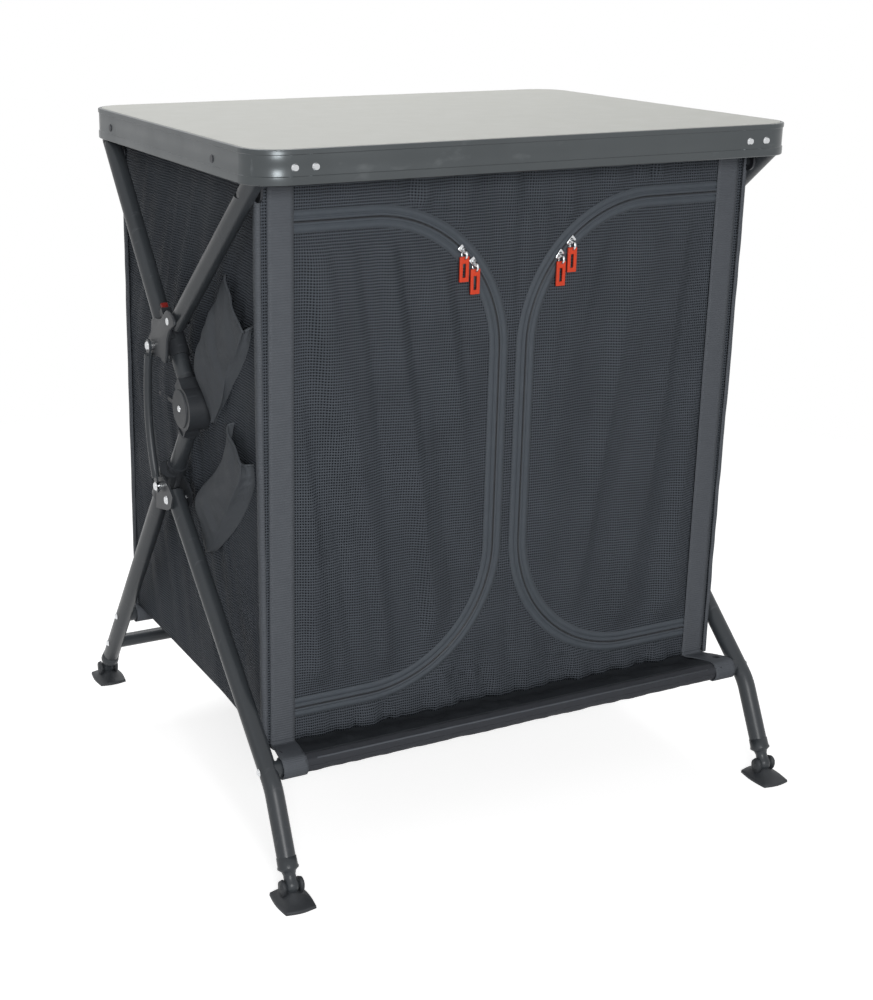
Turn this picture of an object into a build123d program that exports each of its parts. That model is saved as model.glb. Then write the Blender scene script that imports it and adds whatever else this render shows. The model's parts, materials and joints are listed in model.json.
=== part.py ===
from build123d import *
import math
import os

# Camping kitchen cupboard: a worktop on a folding tube frame with a cloth body.
# Millimetres, +Z up, -Y is the front with the doors, the floor is Z = 0.
# Side profiles are drawn in the Y-Z plane on the left side (-X) and mirrored.

# Worktop and edge rail
WIDTH = 700.0
DEPTH = 532.0
HEIGHT = 830.0
CORNER_RADIUS = 42.0
RAIL_HEIGHT = 37.5
RAIL_WALL = 1.8
RAIL_GROOVE = 0.9
RAIL_TOP_LAND = 4.2
RAIL_TOP_BAND = 5.0
RAIL_FOOT_BEAD = 9.0
RAIL_EDGE_ROUND = 1.5
RAIL_SHELF_REACH = 10.8
RAIL_SHELF_THICKNESS = 2.0
PANEL_THICKNESS = 12.0
PANEL_EDGE_GAP = 0.2
PANEL_PROUD = 0.4
PANEL_CHAMFER = 0.5

# Tubes of the frame
TUBE_RADIUS = 11.0
TUBE_WALL = 1.5
KNEE_TUBE_RADIUS = 10.5
CROSS_TUBE_RADIUS = 9.5
TUBE_INSET = 14.0
KNEE_TUBE_INSET = 8.0
TUBE_OVERHANG = 8.0
RUNNING_GAP = 0.06
SEAT_GAP = 0.05

# Pivots and axis crossings, given as (y, z) on the side of the frame
REAR_PIVOT = (220.0, HEIGHT - 43.9)
FRONT_PIVOT = (-214.0, HEIGHT - 50.3)
KNEE_CROSSING = (-31.0, HEIGHT - 332.0)
KNEE_PIVOT_SETBACK = 14.0
REAR_BALL = (327.0, 19.0)
BRACE_CATCH_RUN = 285.8090
BRACE_CATCH_OFFSET = 49.0124
HIP_RUN = 129.4597
HIP_OFFSET = 35.5836
FRONT_LEG_BEND = (-273.0, 117.0)
FRONT_BALL = (-321.0, 19.0)
LEG_BEND_RADIUS = 60.0

# Brackets, their plates, sleeves and pins
PLATE_THICKNESS = 2.5
PLATE_GAP = 0.2
SLEEVE_RADIUS = 13.5
KNEE_SLEEVE_RADIUS = 13.0
RIVET_RADIUS = 3.0
RIVET_HEAD_RADIUS = 5.5
RIVET_HEAD_HEIGHT = 1.8
HINGE_PIN_RADIUS = 4.0
LATCH_SLEEVE_BACK = 27.0
LATCH_SLEEVE_FRONT = 24.0
HIP_SLEEVE_FOOT = 38.0

# Knee knuckles
CHEEK_RADIUS = 26.0
CHEEK_THICKNESS = 3.8
CHEEK_SHIFT = 5.0
KNUCKLE_HALF = 13.4
KNUCKLE_DISC_RADIUS = 22.0
KNUCKLE_GAP = 0.25
KNUCKLE_NECK_HALF = 9.0
KNUCKLE_PIN_RADIUS = 4.0
KNUCKLE_REACH = 44.0
FORK_CUT_REACH = 70.0
FORK_CUT_SIDE = 40.0
COLLAR_RADIUS = 11.5
COLLAR_LENGTH = 4.0
PLUG_LENGTH = 15.0

# Bowed struts over the latch
STRUT_RADIUS = 5.0
STRUT_OFFSET = 19.2
STRUT_BOW = 15.0
STRUT_EYE_RADIUS = 8.0
STRUT_EYE_THICKNESS = 2.6
STRUT_TONGUE = 16.0
HOOK_CLEARANCE = 0.3
STRUT_MOUTH_ANGLE = 155.0
BRACE_MOUTH_ANGLE = 15.0
HOOK_REACH = 16.0
CUT_RUNOUT = 4.0
BRACE_TOP_GAP = 0.3

# Feet
BALL_RADIUS = 9.0
STEM_RADIUS = 5.0
TUBE_TO_BALL = 32.0
PLUG_COLLAR_RADIUS = 13.0
PLUG_COLLAR_LENGTH = 9.0
SHOE_WIDTH = 38.0
SHOE_BASE = 7.0
SHOE_EAR = 4.0
SHOE_EAR_GAP = 0.3
SHOE_PIN_RADIUS = 2.5
SHOE_OUTER_REACH = 30.0
SHOE_INNER_REACH = 22.0
REAR_SHOE_OUTER_REACH = 24.0
REAR_SHOE_INNER_REACH = 28.0

# Cloth body and shelves
CLOTH = 1.2
CLOTH_GAP = 0.3
CLOTH_HALF_WIDTH = WIDTH / 2 - 32.0
SIDE_WALL_X = CLOTH_HALF_WIDTH - 3.8
FRONT_WALL_Y = -208.0
REAR_WALL_TOP_Y = 241.0
REAR_WALL_FOOT_Y = 250.0
FLOOR_TUBE_Z = 131.0
LOWER_CROSS_TUBE_Z = 73.0
SLEEVE_CLOTH = 1.3
SLEEVE_HALF_LENGTH = CLOTH_HALF_WIDTH - 18.0
SHELF_THICKNESS = 5.0
SHELF_Z = HEIGHT - 355.0
WEBBING_WIDTH = 25.0
WEBBING_THICKNESS = 1.5
WEBBING_OUTER_X = CLOTH_HALF_WIDTH - 8.0

# Side pockets, (y, z) corners on the left wall and their depth at the top
UPPER_POCKET_FOOT = HEIGHT - 318.0
LOWER_POCKET_FOOT = HEIGHT - 476.0
UPPER_POCKET = [
    (-178.0, UPPER_POCKET_FOOT + 2.0),
    (-68.0, UPPER_POCKET_FOOT),
    (-68.0, UPPER_POCKET_FOOT + 156.0),
    (-178.0, UPPER_POCKET_FOOT + 180.0),
]
LOWER_POCKET = [
    (-173.0, LOWER_POCKET_FOOT + 2.0),
    (-52.0, LOWER_POCKET_FOOT),
    (-52.0, LOWER_POCKET_FOOT + 128.0),
    (-173.0, LOWER_POCKET_FOOT + 156.0),
]
UPPER_POCKET_DEPTH = 9.5
LOWER_POCKET_DEPTH = 26.0
POCKET_FOOT_DEPTH = 6.0

# Doors, their zips and pulls
DOOR_HINGE_X = WEBBING_OUTER_X - WEBBING_WIDTH - 2.0
DOOR_INNER_X = 12.0
DOOR_TOP_Z = HEIGHT - 80.0
DOOR_FOOT_Z = 162.0
DOOR_ARC_RADIUS = 186.0
DOOR_GAP = 0.6
DOOR_FOLD_DEPTH = 3.0
DOOR_FOLD_COUNT = 6
TAPE_WIDTH = 9.0
TAPE_THICKNESS = 1.0
SLIDER_UPPER_ANGLE = 47.5
SLIDER_LOWER_ANGLE = 41.0
SLIDER_WIDTH = 9.0
SLIDER_LENGTH = 12.0
SLIDER_HEIGHT = 3.6
SLIDER_POST = 1.2
PULL_BAR_RADIUS = 0.8
PULL_EYE_RADIUS = 2.2
PULL_EYE_WIDTH = 5.0
PULL_SIDE_GAP = 0.3
PULL_WIDTH = 12.0
PULL_LENGTH = 36.0
PULL_THICKNESS = 2.6

# Red latch buttons
BUTTON_WIDTH = 8.0
BUTTON_HEIGHT = 4.0
BUTTON_LENGTH = 16.0
BUTTON_SHOWN = 8.0
BUTTON_TRAVEL = 3.5
BUTTON_GAP = 0.3
BUTTON_CHAMFER = 0.6
BUTTON_LIFT = 15.0
BOSS_WALL = 2.5
BOSS_LENGTH = 14.0

# Fasteners of the edge rail
SCREW_Z = HEIGHT - 20.5
SCREW_REAR_Y = 186.0
SCREW_FRONT_Y = -151.0
SCREW_RADIUS = 2.2
SCREW_HEAD_RADIUS = 4.6
SCREW_HEAD_HEIGHT = 1.0
LUG_LENGTH = 24.0
LUG_FOOT_Z = HEIGHT - 23.2
LUG_THICKNESS = 6.0
RAIL_RIVET_OUTER_X = WIDTH / 2 - 46.5
RAIL_RIVET_INNER_X = WIDTH / 2 - 70.0
RAIL_RIVET_Z = HEIGHT - 19.0
RAIL_RIVET_RADIUS = 2.2
RAIL_RIVET_HEAD_RADIUS = 4.5
BRACKET_PLATE = 3.0
BRACKET_GAP = 0.5
BRACKET_EAR_RADIUS = 10.0
FLANGE_THICKNESS = 2.8

# Values worked out from the ones above
HALF_WIDTH = WIDTH / 2
HALF_DEPTH = DEPTH / 2
RAIL_BOTTOM = HEIGHT - RAIL_HEIGHT
RAIL_TOP = HEIGHT - PANEL_PROUD
PANEL_BOTTOM = HEIGHT - PANEL_THICKNESS
SHELF_UNDER = PANEL_BOTTOM - RAIL_SHELF_THICKNESS
RAIL_INSIDE = RAIL_GROOVE + RAIL_WALL
TUBE_PLANE = HALF_WIDTH - TUBE_INSET
KNEE_PLANE = TUBE_PLANE - KNEE_TUBE_INSET
STRUT_PLANE = TUBE_PLANE + STRUT_OFFSET
PLATE_FACE = TUBE_PLANE + TUBE_RADIUS + PLATE_GAP
PLATE_OUTSIDE = PLATE_FACE + PLATE_THICKNESS
CLOTH_TOP = PANEL_BOTTOM - CLOTH_GAP
SIDE = Plane(origin=(0, 0, 0), x_dir=(0, 1, 0), z_dir=(1, 0, 0))


def direction(start, end):
    """Unit vector from one (y, z) point to another."""
    length = math.dist(start, end)
    return ((end[0] - start[0]) / length, (end[1] - start[1]) / length)


def along(start, unit, distance, offset=0.0):
    """The (y, z) point at a distance along a line and an offset to its left."""
    y = start[0] + unit[0] * distance - unit[1] * offset
    z = start[1] + unit[1] * distance + unit[0] * offset
    return (y, z)


UPPER_DIR = direction(REAR_PIVOT, KNEE_CROSSING)
UPPER_LENGTH = math.dist(REAR_PIVOT, KNEE_CROSSING)
LOWER_DIR = direction(KNEE_CROSSING, REAR_BALL)
LOWER_LENGTH = math.dist(KNEE_CROSSING, REAR_BALL)
TOE_DIR = direction(FRONT_LEG_BEND, FRONT_BALL)
KNEE_PIVOT = (KNEE_CROSSING[0] + KNEE_PIVOT_SETBACK, KNEE_CROSSING[1])


def upper(u, v=0.0):
    """(y, z) at u mm down the upper rear tube and v mm to its front."""
    return along(REAR_PIVOT, UPPER_DIR, u, -v)


def lower(c, w=0.0):
    """(y, z) at c mm down the rear leg from the knee and w mm to its front."""
    return along(KNEE_CROSSING, LOWER_DIR, c, -w)


BRACE_CATCH = upper(BRACE_CATCH_RUN, BRACE_CATCH_OFFSET)
FRONT_LEG_PIVOT = lower(HIP_RUN, HIP_OFFSET)
BRACE_DIR = direction(FRONT_PIVOT, BRACE_CATCH)
BRACE_LENGTH = math.dist(FRONT_PIVOT, BRACE_CATCH)
FRONT_DIR = direction(FRONT_LEG_PIVOT, FRONT_LEG_BEND)


def brace(r, s=0.0):
    """(y, z) at r mm down the front brace and s mm above it."""
    return along(FRONT_PIVOT, BRACE_DIR, r, s)


UPPER_TUBE_END = BRACE_CATCH_RUN + 1.0
KNEE_TUBE_START = UPPER_TUBE_END + 4.0
KNEE_TUBE_END = UPPER_LENGTH - KNUCKLE_REACH
KNEE_TUBE_FOOT = HIP_RUN - 3.0
LEG_TUBE_START = HIP_RUN + 1.0
STRUT_TOP = upper(BRACE_CATCH_RUN - 6.0, -20.0)
STRUT_FOOT = lower(HIP_RUN, 13.0)
REAR_CROSS_UPPER = lower((KNEE_CROSSING[1] - FLOOR_TUBE_Z) / -LOWER_DIR[1])
REAR_CROSS_LOWER = lower((KNEE_CROSSING[1] - LOWER_CROSS_TUBE_Z) / -LOWER_DIR[1])
FRONT_CROSS = along(FRONT_LEG_PIVOT, FRONT_DIR, (FRONT_LEG_PIVOT[1] - FLOOR_TUBE_Z) / -FRONT_DIR[1])
FLOOR_CLOTH_Z = FLOOR_TUBE_Z + CROSS_TUBE_RADIUS + SLEEVE_CLOTH + 2 * CLOTH_GAP
FLOOR_BOARD_Z = FLOOR_CLOTH_Z + CLOTH + CLOTH_GAP
SIDE_INSIDE = SIDE_WALL_X - CLOTH


def side_plane(x):
    """Drawing plane with +Y to the right and +Z up, whose normal is +X."""
    return SIDE.offset(x)


def tube(start, end, x, radius, wall):
    """Adds a straight hollow tube between two (y, z) points to the open part."""
    unit = direction(start, end)
    with BuildSketch(Plane(origin=(x, start[0], start[1]), z_dir=(0, unit[0], unit[1]))) as section:
        Circle(radius)
        Circle(radius - wall, mode=Mode.SUBTRACT)
    extrude(section.sketch, amount=math.dist(start, end))


def rod(start, end, x, radius, mode=Mode.ADD):
    """Adds or cuts a solid round bar between two (y, z) points."""
    unit = direction(start, end)
    with BuildSketch(Plane(origin=(x, start[0], start[1]), z_dir=(0, unit[0], unit[1]))) as section:
        Circle(radius)
    extrude(section.sketch, amount=math.dist(start, end), mode=mode)


def cross_bar(point, x_low, x_high, radius, mode=Mode.ADD):
    """Adds or cuts a solid round bar that runs along X through a (y, z) point."""
    with BuildSketch(side_plane(x_low)) as section:
        with Locations(point):
            Circle(radius)
    extrude(section.sketch, amount=x_high - x_low, mode=mode)


def plate(corners, x_low, x_high, mode=Mode.ADD):
    """Adds or cuts a flat plate with the given (y, z) corners."""
    with BuildSketch(side_plane(x_low)) as section:
        with BuildLine():
            Polyline(*corners, close=True)
        make_face()
    extrude(section.sketch, amount=x_high - x_low, mode=mode)


def block(x_low, x_high, y_low, y_high, z_low, z_high, mode=Mode.ADD):
    """Adds or cuts a box between two corners."""
    plate([(y_low, z_low), (y_high, z_low), (y_high, z_high), (y_low, z_high)], x_low, x_high, mode)


def rivet_head(point, x, radius=RIVET_HEAD_RADIUS, height=RIVET_HEAD_HEIGHT):
    """Adds a round-edged head on the outer side of a plane at x on the left side."""
    with BuildSketch(side_plane(x)) as section:
        with Locations(point):
            Circle(radius)
    extrude(section.sketch, amount=-height, taper=35)


def both_sides():
    """Copies what the open part holds to the other side of the cupboard."""
    mirror(about=Plane.YZ)


def right_hand(left):
    """A new part that is the mirror image of a left-hand one."""
    with BuildPart() as right:
        mirror(left.part, about=Plane.YZ)
    return right


def save(piece, label):
    piece.part.label = label
    export_step(piece.part, "parts/" + label + ".step")


def save_pair(left, label):
    save(left, label + "_left")
    save(right_hand(left), label + "_right")


os.makedirs("parts", exist_ok=True)

# The edge rail: one aluminium profile bent round the worktop. Its section has a top
# land, a hollow face between two beads and an inner shelf that the panel lies on.
LIP = PANEL_BOTTOM - RAIL_BOTTOM
FACE_TOP = RAIL_TOP - RAIL_BOTTOM
with BuildPart() as edge_rail:
    with BuildLine(Plane.XY.offset(RAIL_BOTTOM)) as rail_path:
        side = Line((HALF_WIDTH, 0), (HALF_WIDTH, HALF_DEPTH - CORNER_RADIUS))
        for straight in (WIDTH, DEPTH, WIDTH):
            corner = JernArc(side @ 1, side % 1, CORNER_RADIUS, 90)
            length = straight - 2 * CORNER_RADIUS
            side = Line(corner @ 1, corner @ 1 + corner % 1 * length)
        corner = JernArc(side @ 1, side % 1, CORNER_RADIUS, 90)
        Line(corner @ 1, (HALF_WIDTH, 0))
    with BuildSketch(Plane(origin=(HALF_WIDTH, 0, RAIL_BOTTOM), x_dir=(-1, 0, 0), z_dir=(0, 1, 0))):
        with BuildLine():
            Polyline(
                (RAIL_EDGE_ROUND, FACE_TOP),
                (RAIL_TOP_LAND, FACE_TOP),
                (RAIL_TOP_LAND, LIP),
                (RAIL_SHELF_REACH, LIP),
                (RAIL_SHELF_REACH, LIP - RAIL_SHELF_THICKNESS),
                (RAIL_INSIDE, LIP - RAIL_SHELF_THICKNESS),
                (RAIL_INSIDE, RAIL_FOOT_BEAD + RAIL_WALL),
                (RAIL_WALL, RAIL_FOOT_BEAD),
                (RAIL_WALL, 0),
                (RAIL_GROOVE, 0),
                (0, RAIL_GROOVE),
                (0, RAIL_FOOT_BEAD),
                (RAIL_GROOVE, RAIL_FOOT_BEAD + RAIL_GROOVE),
                (RAIL_GROOVE, FACE_TOP - RAIL_TOP_BAND - RAIL_GROOVE),
                (0, FACE_TOP - RAIL_TOP_BAND),
                (0, FACE_TOP - RAIL_EDGE_ROUND),
            )
            RadiusArc((0, FACE_TOP - RAIL_EDGE_ROUND), (RAIL_EDGE_ROUND, FACE_TOP), RAIL_EDGE_ROUND)
        make_face()
    sweep(path=rail_path.wires()[0])
    for sign in (-1, 1):
        for screw_y in (SCREW_REAR_Y, SCREW_FRONT_Y):
            middle = sign * (HALF_WIDTH - RAIL_WALL)
            cross_bar((screw_y, SCREW_Z), middle - 3, middle + 3, SCREW_RADIUS + SEAT_GAP, Mode.SUBTRACT)
        for rivet_x in (RAIL_RIVET_INNER_X, RAIL_RIVET_OUTER_X):
            with BuildSketch(Plane.XZ.offset(HALF_DEPTH + 1)):
                with Locations((sign * rivet_x, RAIL_RIVET_Z)):
                    Circle(RAIL_RIVET_RADIUS + SEAT_GAP)
            extrude(amount=-5, mode=Mode.SUBTRACT)
save(edge_rail, "edge_rail")

with BuildPart() as worktop_panel:
    with BuildSketch(Plane.XY.offset(PANEL_BOTTOM)):
        inset = RAIL_TOP_LAND + PANEL_EDGE_GAP
        RectangleRounded(WIDTH - 2 * inset, DEPTH - 2 * inset, CORNER_RADIUS - inset)
    extrude(amount=PANEL_THICKNESS)
    chamfer(worktop_panel.faces().sort_by(Axis.Z)[-1].edges(), PANEL_CHAMFER)
save(worktop_panel, "worktop_panel")

# Hinge brackets hang under the worktop panel, inside the rail.
CHEEK_OUT_X = TUBE_PLANE - TUBE_RADIUS - BRACKET_GAP
FLANGE_OUT_X = HALF_WIDTH - RAIL_SHELF_REACH - PANEL_EDGE_GAP
FLANGE_IN_X = CHEEK_OUT_X - BRACKET_PLATE - 1.5
LUG_OUT_X = HALF_WIDTH - RAIL_INSIDE


def hinge_bracket(pivot, y_low, y_high, screw_y):
    """A flange under the panel, a cheek with the hinge pin's hole and a lug for a rail screw."""
    ear_low = pivot[0] - BRACKET_EAR_RADIUS
    ear_high = pivot[0] + BRACKET_EAR_RADIUS
    lug_low = screw_y - LUG_LENGTH / 2
    lug_high = screw_y + LUG_LENGTH / 2
    cheek_in_x = CHEEK_OUT_X - BRACKET_PLATE
    lug_in_x = FLANGE_OUT_X - LUG_THICKNESS
    block(-FLANGE_OUT_X, -FLANGE_IN_X, y_low, y_high, PANEL_BOTTOM - FLANGE_THICKNESS, PANEL_BOTTOM)
    block(-CHEEK_OUT_X, -cheek_in_x, ear_low, ear_high, pivot[1], PANEL_BOTTOM)
    cross_bar(pivot, -CHEEK_OUT_X, -cheek_in_x, BRACKET_EAR_RADIUS)
    cross_bar(pivot, -CHEEK_OUT_X - 1, -cheek_in_x + 1, HINGE_PIN_RADIUS + SEAT_GAP, Mode.SUBTRACT)
    block(-LUG_OUT_X, -lug_in_x, lug_low, lug_high, LUG_FOOT_Z, SHELF_UNDER)
    block(-FLANGE_OUT_X, -lug_in_x, lug_low, lug_high, LUG_FOOT_Z, PANEL_BOTTOM)
    cross_bar((screw_y, SCREW_Z), -LUG_OUT_X - 1, -LUG_OUT_X + 8, SCREW_RADIUS + SEAT_GAP, Mode.SUBTRACT)


CORNER_CENTRE_X = HALF_WIDTH - CORNER_RADIUS
CORNER_CENTRE_Y = HALF_DEPTH - CORNER_RADIUS
with BuildPart() as rear_hinge_brackets:
    hinge_bracket(REAR_PIVOT, SCREW_REAR_Y - LUG_LENGTH / 2, CORNER_CENTRE_Y, SCREW_REAR_Y)
    both_sides()
save(rear_hinge_brackets, "rear_hinge_brackets")

FRONT_LUG_Y = HALF_DEPTH - RAIL_INSIDE
FRONT_FLANGE_Y = HALF_DEPTH - RAIL_SHELF_REACH - PANEL_EDGE_GAP
ARM_REACH = 0.7 * (CORNER_RADIUS - RAIL_SHELF_REACH)
FOOT_IN_X = RAIL_RIVET_INNER_X - 12
FOOT_WALL = 4.0
with BuildPart() as front_hinge_brackets:
    hinge_bracket(FRONT_PIVOT, -CORNER_CENTRE_Y, SCREW_FRONT_Y + LUG_LENGTH / 2, SCREW_FRONT_Y)
    arm_low = PANEL_BOTTOM - FLANGE_THICKNESS
    arm_x = CORNER_CENTRE_X + ARM_REACH
    arm_y = CORNER_CENTRE_Y + ARM_REACH
    arm_back_y = -CORNER_CENTRE_Y + BRACKET_EAR_RADIUS
    foot_back_y = FOOT_WALL - FRONT_FLANGE_Y
    block(-arm_x, -FOOT_IN_X, -arm_y, arm_back_y, arm_low, PANEL_BOTTOM)
    block(-CORNER_CENTRE_X, -FOOT_IN_X, -FRONT_FLANGE_Y, -arm_y, arm_low, PANEL_BOTTOM)
    block(-CORNER_CENTRE_X, -FOOT_IN_X, -FRONT_FLANGE_Y, foot_back_y, LUG_FOOT_Z, PANEL_BOTTOM)
    block(-CORNER_CENTRE_X, -FOOT_IN_X, -FRONT_LUG_Y, foot_back_y, LUG_FOOT_Z, SHELF_UNDER)
    for rivet_x in (RAIL_RIVET_INNER_X, RAIL_RIVET_OUTER_X):
        with BuildSketch(Plane.XZ.offset(HALF_DEPTH)):
            with Locations((-rivet_x, RAIL_RIVET_Z)):
                Circle(RAIL_RIVET_RADIUS + SEAT_GAP)
        extrude(amount=-20, mode=Mode.SUBTRACT)
    both_sides()
save(front_hinge_brackets, "front_hinge_brackets")

with BuildPart() as rail_screws:
    for screw_y in (SCREW_REAR_Y, SCREW_FRONT_Y):
        seat_x = RAIL_GROOVE - HALF_WIDTH
        cross_bar((screw_y, SCREW_Z), seat_x, seat_x + LUG_THICKNESS + RAIL_WALL, SCREW_RADIUS)
        rivet_head((screw_y, SCREW_Z), seat_x, SCREW_HEAD_RADIUS, SCREW_HEAD_HEIGHT)
    both_sides()
save(rail_screws, "rail_screws")

with BuildPart() as rail_rivets:
    for rivet_x in (RAIL_RIVET_INNER_X, RAIL_RIVET_OUTER_X):
        seat = Plane.XZ.offset(HALF_DEPTH - RAIL_GROOVE)
        with BuildSketch(seat):
            with Locations((-rivet_x, RAIL_RIVET_Z)):
                Circle(RAIL_RIVET_HEAD_RADIUS)
        extrude(amount=RIVET_HEAD_HEIGHT, taper=35)
        with BuildSketch(seat):
            with Locations((-rivet_x, RAIL_RIVET_Z)):
                Circle(RAIL_RIVET_RADIUS)
        extrude(amount=-(RAIL_WALL + 8))
    both_sides()
save(rail_rivets, "rail_rivets")

with BuildPart() as hinge_pins:
    for pivot in (REAR_PIVOT, FRONT_PIVOT):
        cross_bar(pivot, -TUBE_PLANE - TUBE_RADIUS + 1, -CHEEK_OUT_X + BRACKET_PLATE, HINGE_PIN_RADIUS)
    both_sides()
save(hinge_pins, "hinge_pins")

# Upper rear tubes, from the hinge pin to the latch bracket.
with BuildPart() as upper_rear_tubes:
    tube(upper(-TUBE_OVERHANG), upper(UPPER_TUBE_END), -TUBE_PLANE, TUBE_RADIUS, TUBE_WALL)
    cross_bar(REAR_PIVOT, -TUBE_PLANE - 12, -TUBE_PLANE + 12, HINGE_PIN_RADIUS + RUNNING_GAP, Mode.SUBTRACT)
    both_sides()
save(upper_rear_tubes, "upper_rear_tubes")

with BuildPart() as upper_knee_tubes:
    tube(upper(KNEE_TUBE_START), upper(KNEE_TUBE_END), -KNEE_PLANE, KNEE_TUBE_RADIUS, TUBE_WALL)
    both_sides()
save(upper_knee_tubes, "upper_knee_tubes")

# Latch bracket: a star-shaped plate on a sleeve round the upper tube, a set-in sleeve
# for the knee tube, and an ear that the front brace turns on.
STAR = [
    (-29.5, 3.0),
    (-14.0, 30.0),
    (-12.0, 55.0),
    (3.0, 66.0),
    (13.0, 66.0),
    (11.0, 47.0),
    (16.0, 30.0),
    (31.0, 6.0),
    (17.0, -8.0),
    (4.0, -27.0),
    (-8.0, -31.0),
    (-17.0, -25.0),
    (-20.0, -10.0),
]
BOSS_START = BRACE_CATCH_RUN - LATCH_SLEEVE_BACK - 7.0
BUTTON_PLANE = Plane(
    origin=(-TUBE_PLANE, upper(BOSS_START)[0], upper(BOSS_START)[1]),
    x_dir=(0, upper(0, 1)[0] - REAR_PIVOT[0], upper(0, 1)[1] - REAR_PIVOT[1]),
    z_dir=(0, UPPER_DIR[0], UPPER_DIR[1]),
)
BOSS_FOOT = TUBE_RADIUS + SEAT_GAP
BOSS_TOP = BUTTON_LIFT + BUTTON_HEIGHT + BOSS_WALL


def button_section(low, high, half_width):
    """A rectangle square to the upper tube, from low to high in front of its axis."""
    with Locations(((low + high) / 2, 0)):
        Rectangle(high - low, 2 * half_width)


with BuildPart() as latch_bracket:
    plate([upper(BRACE_CATCH_RUN + u, v) for u, v in STAR], -PLATE_OUTSIDE, -PLATE_FACE)
    rod(upper(BRACE_CATCH_RUN - LATCH_SLEEVE_BACK), upper(BRACE_CATCH_RUN + 4), -TUBE_PLANE, SLEEVE_RADIUS)
    sleeve_front = upper(BRACE_CATCH_RUN + LATCH_SLEEVE_FRONT)
    rod(upper(BRACE_CATCH_RUN - 8), sleeve_front, -KNEE_PLANE, KNEE_SLEEVE_RADIUS)
    with BuildSketch(BUTTON_PLANE):
        button_section(BOSS_FOOT, BOSS_TOP, BUTTON_WIDTH / 2 + BOSS_WALL)
    extrude(amount=BOSS_LENGTH)
    with BuildSketch(BUTTON_PLANE.offset(-1)):
        slot_low = BUTTON_LIFT - BUTTON_GAP
        button_section(slot_low, BUTTON_LIFT + BUTTON_HEIGHT + BUTTON_GAP, BUTTON_WIDTH / 2 + BUTTON_GAP)
    extrude(amount=1 + BUTTON_LENGTH - BUTTON_SHOWN + BUTTON_TRAVEL + BUTTON_GAP, mode=Mode.SUBTRACT)
    bore = TUBE_RADIUS + SEAT_GAP
    bore_start = upper(BRACE_CATCH_RUN - LATCH_SLEEVE_BACK - 1)
    rod(bore_start, upper(UPPER_TUBE_END + 0.1), -TUBE_PLANE, bore, Mode.SUBTRACT)
    knee_bore = KNEE_TUBE_RADIUS + SEAT_GAP
    knee_end = upper(BRACE_CATCH_RUN + LATCH_SLEEVE_FRONT + 1)
    rod(upper(KNEE_TUBE_START - 0.1), knee_end, -KNEE_PLANE, knee_bore, Mode.SUBTRACT)
    cross_bar(BRACE_CATCH, -PLATE_OUTSIDE - 1, -PLATE_FACE + 1, RIVET_RADIUS + SEAT_GAP, Mode.SUBTRACT)
    cross_bar(STRUT_TOP, -PLATE_OUTSIDE - 1, -PLATE_FACE + 1, RIVET_RADIUS + SEAT_GAP, Mode.SUBTRACT)
save_pair(latch_bracket, "latch_bracket")

EYE_IN_X = STRUT_PLANE - STRUT_EYE_THICKNESS / 2
EYE_OUT_X = STRUT_PLANE + STRUT_EYE_THICKNESS / 2


def strut_pin(point):
    """A pin with a spacer on the bracket plate, a shaft for the strut's eye and a head."""
    cross_bar(point, -PLATE_FACE, -PLATE_OUTSIDE, RIVET_RADIUS)
    cross_bar(point, -EYE_IN_X + PLATE_GAP, -PLATE_OUTSIDE, RIVET_HEAD_RADIUS)
    cross_bar(point, -EYE_OUT_X - PLATE_GAP, -EYE_IN_X + PLATE_GAP, RIVET_RADIUS)
    rivet_head(point, -EYE_OUT_X - PLATE_GAP)


with BuildPart() as latch_rivets:
    inner_face = -TUBE_PLANE + TUBE_RADIUS
    cross_bar(BRACE_CATCH, -PLATE_OUTSIDE, inner_face + 1, RIVET_RADIUS)
    cross_bar(BRACE_CATCH, inner_face + PLATE_GAP, inner_face + 2, RIVET_HEAD_RADIUS)
    rivet_head(BRACE_CATCH, -PLATE_OUTSIDE)
    strut_pin(STRUT_TOP)
    both_sides()
save(latch_rivets, "latch_rivets")

with BuildPart() as latch_button:
    with BuildSketch(BUTTON_PLANE.offset(-BUTTON_SHOWN)):
        button_section(BUTTON_LIFT, BUTTON_LIFT + BUTTON_HEIGHT, BUTTON_WIDTH / 2)
    extrude(amount=BUTTON_LENGTH)
    chamfer(latch_button.faces().sort_by(Axis.Z)[-1].edges(), BUTTON_CHAMFER)
save_pair(latch_button, "latch_button")


def hook_mouth(centre, angle, half_width, reach, x_low, x_high):
    """Cuts a pin's hole and the mouth that the pin leaves it by."""
    turn = math.radians(angle)
    unit = (math.cos(turn), math.sin(turn))
    cross_bar(centre, x_low, x_high, half_width, Mode.SUBTRACT)
    near = [along(centre, unit, 0, side) for side in (-half_width, half_width)]
    far = [along(centre, unit, reach, side) for side in (half_width + 2, -half_width - 2)]
    plate(near + far, x_low, x_high, Mode.SUBTRACT)


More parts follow.
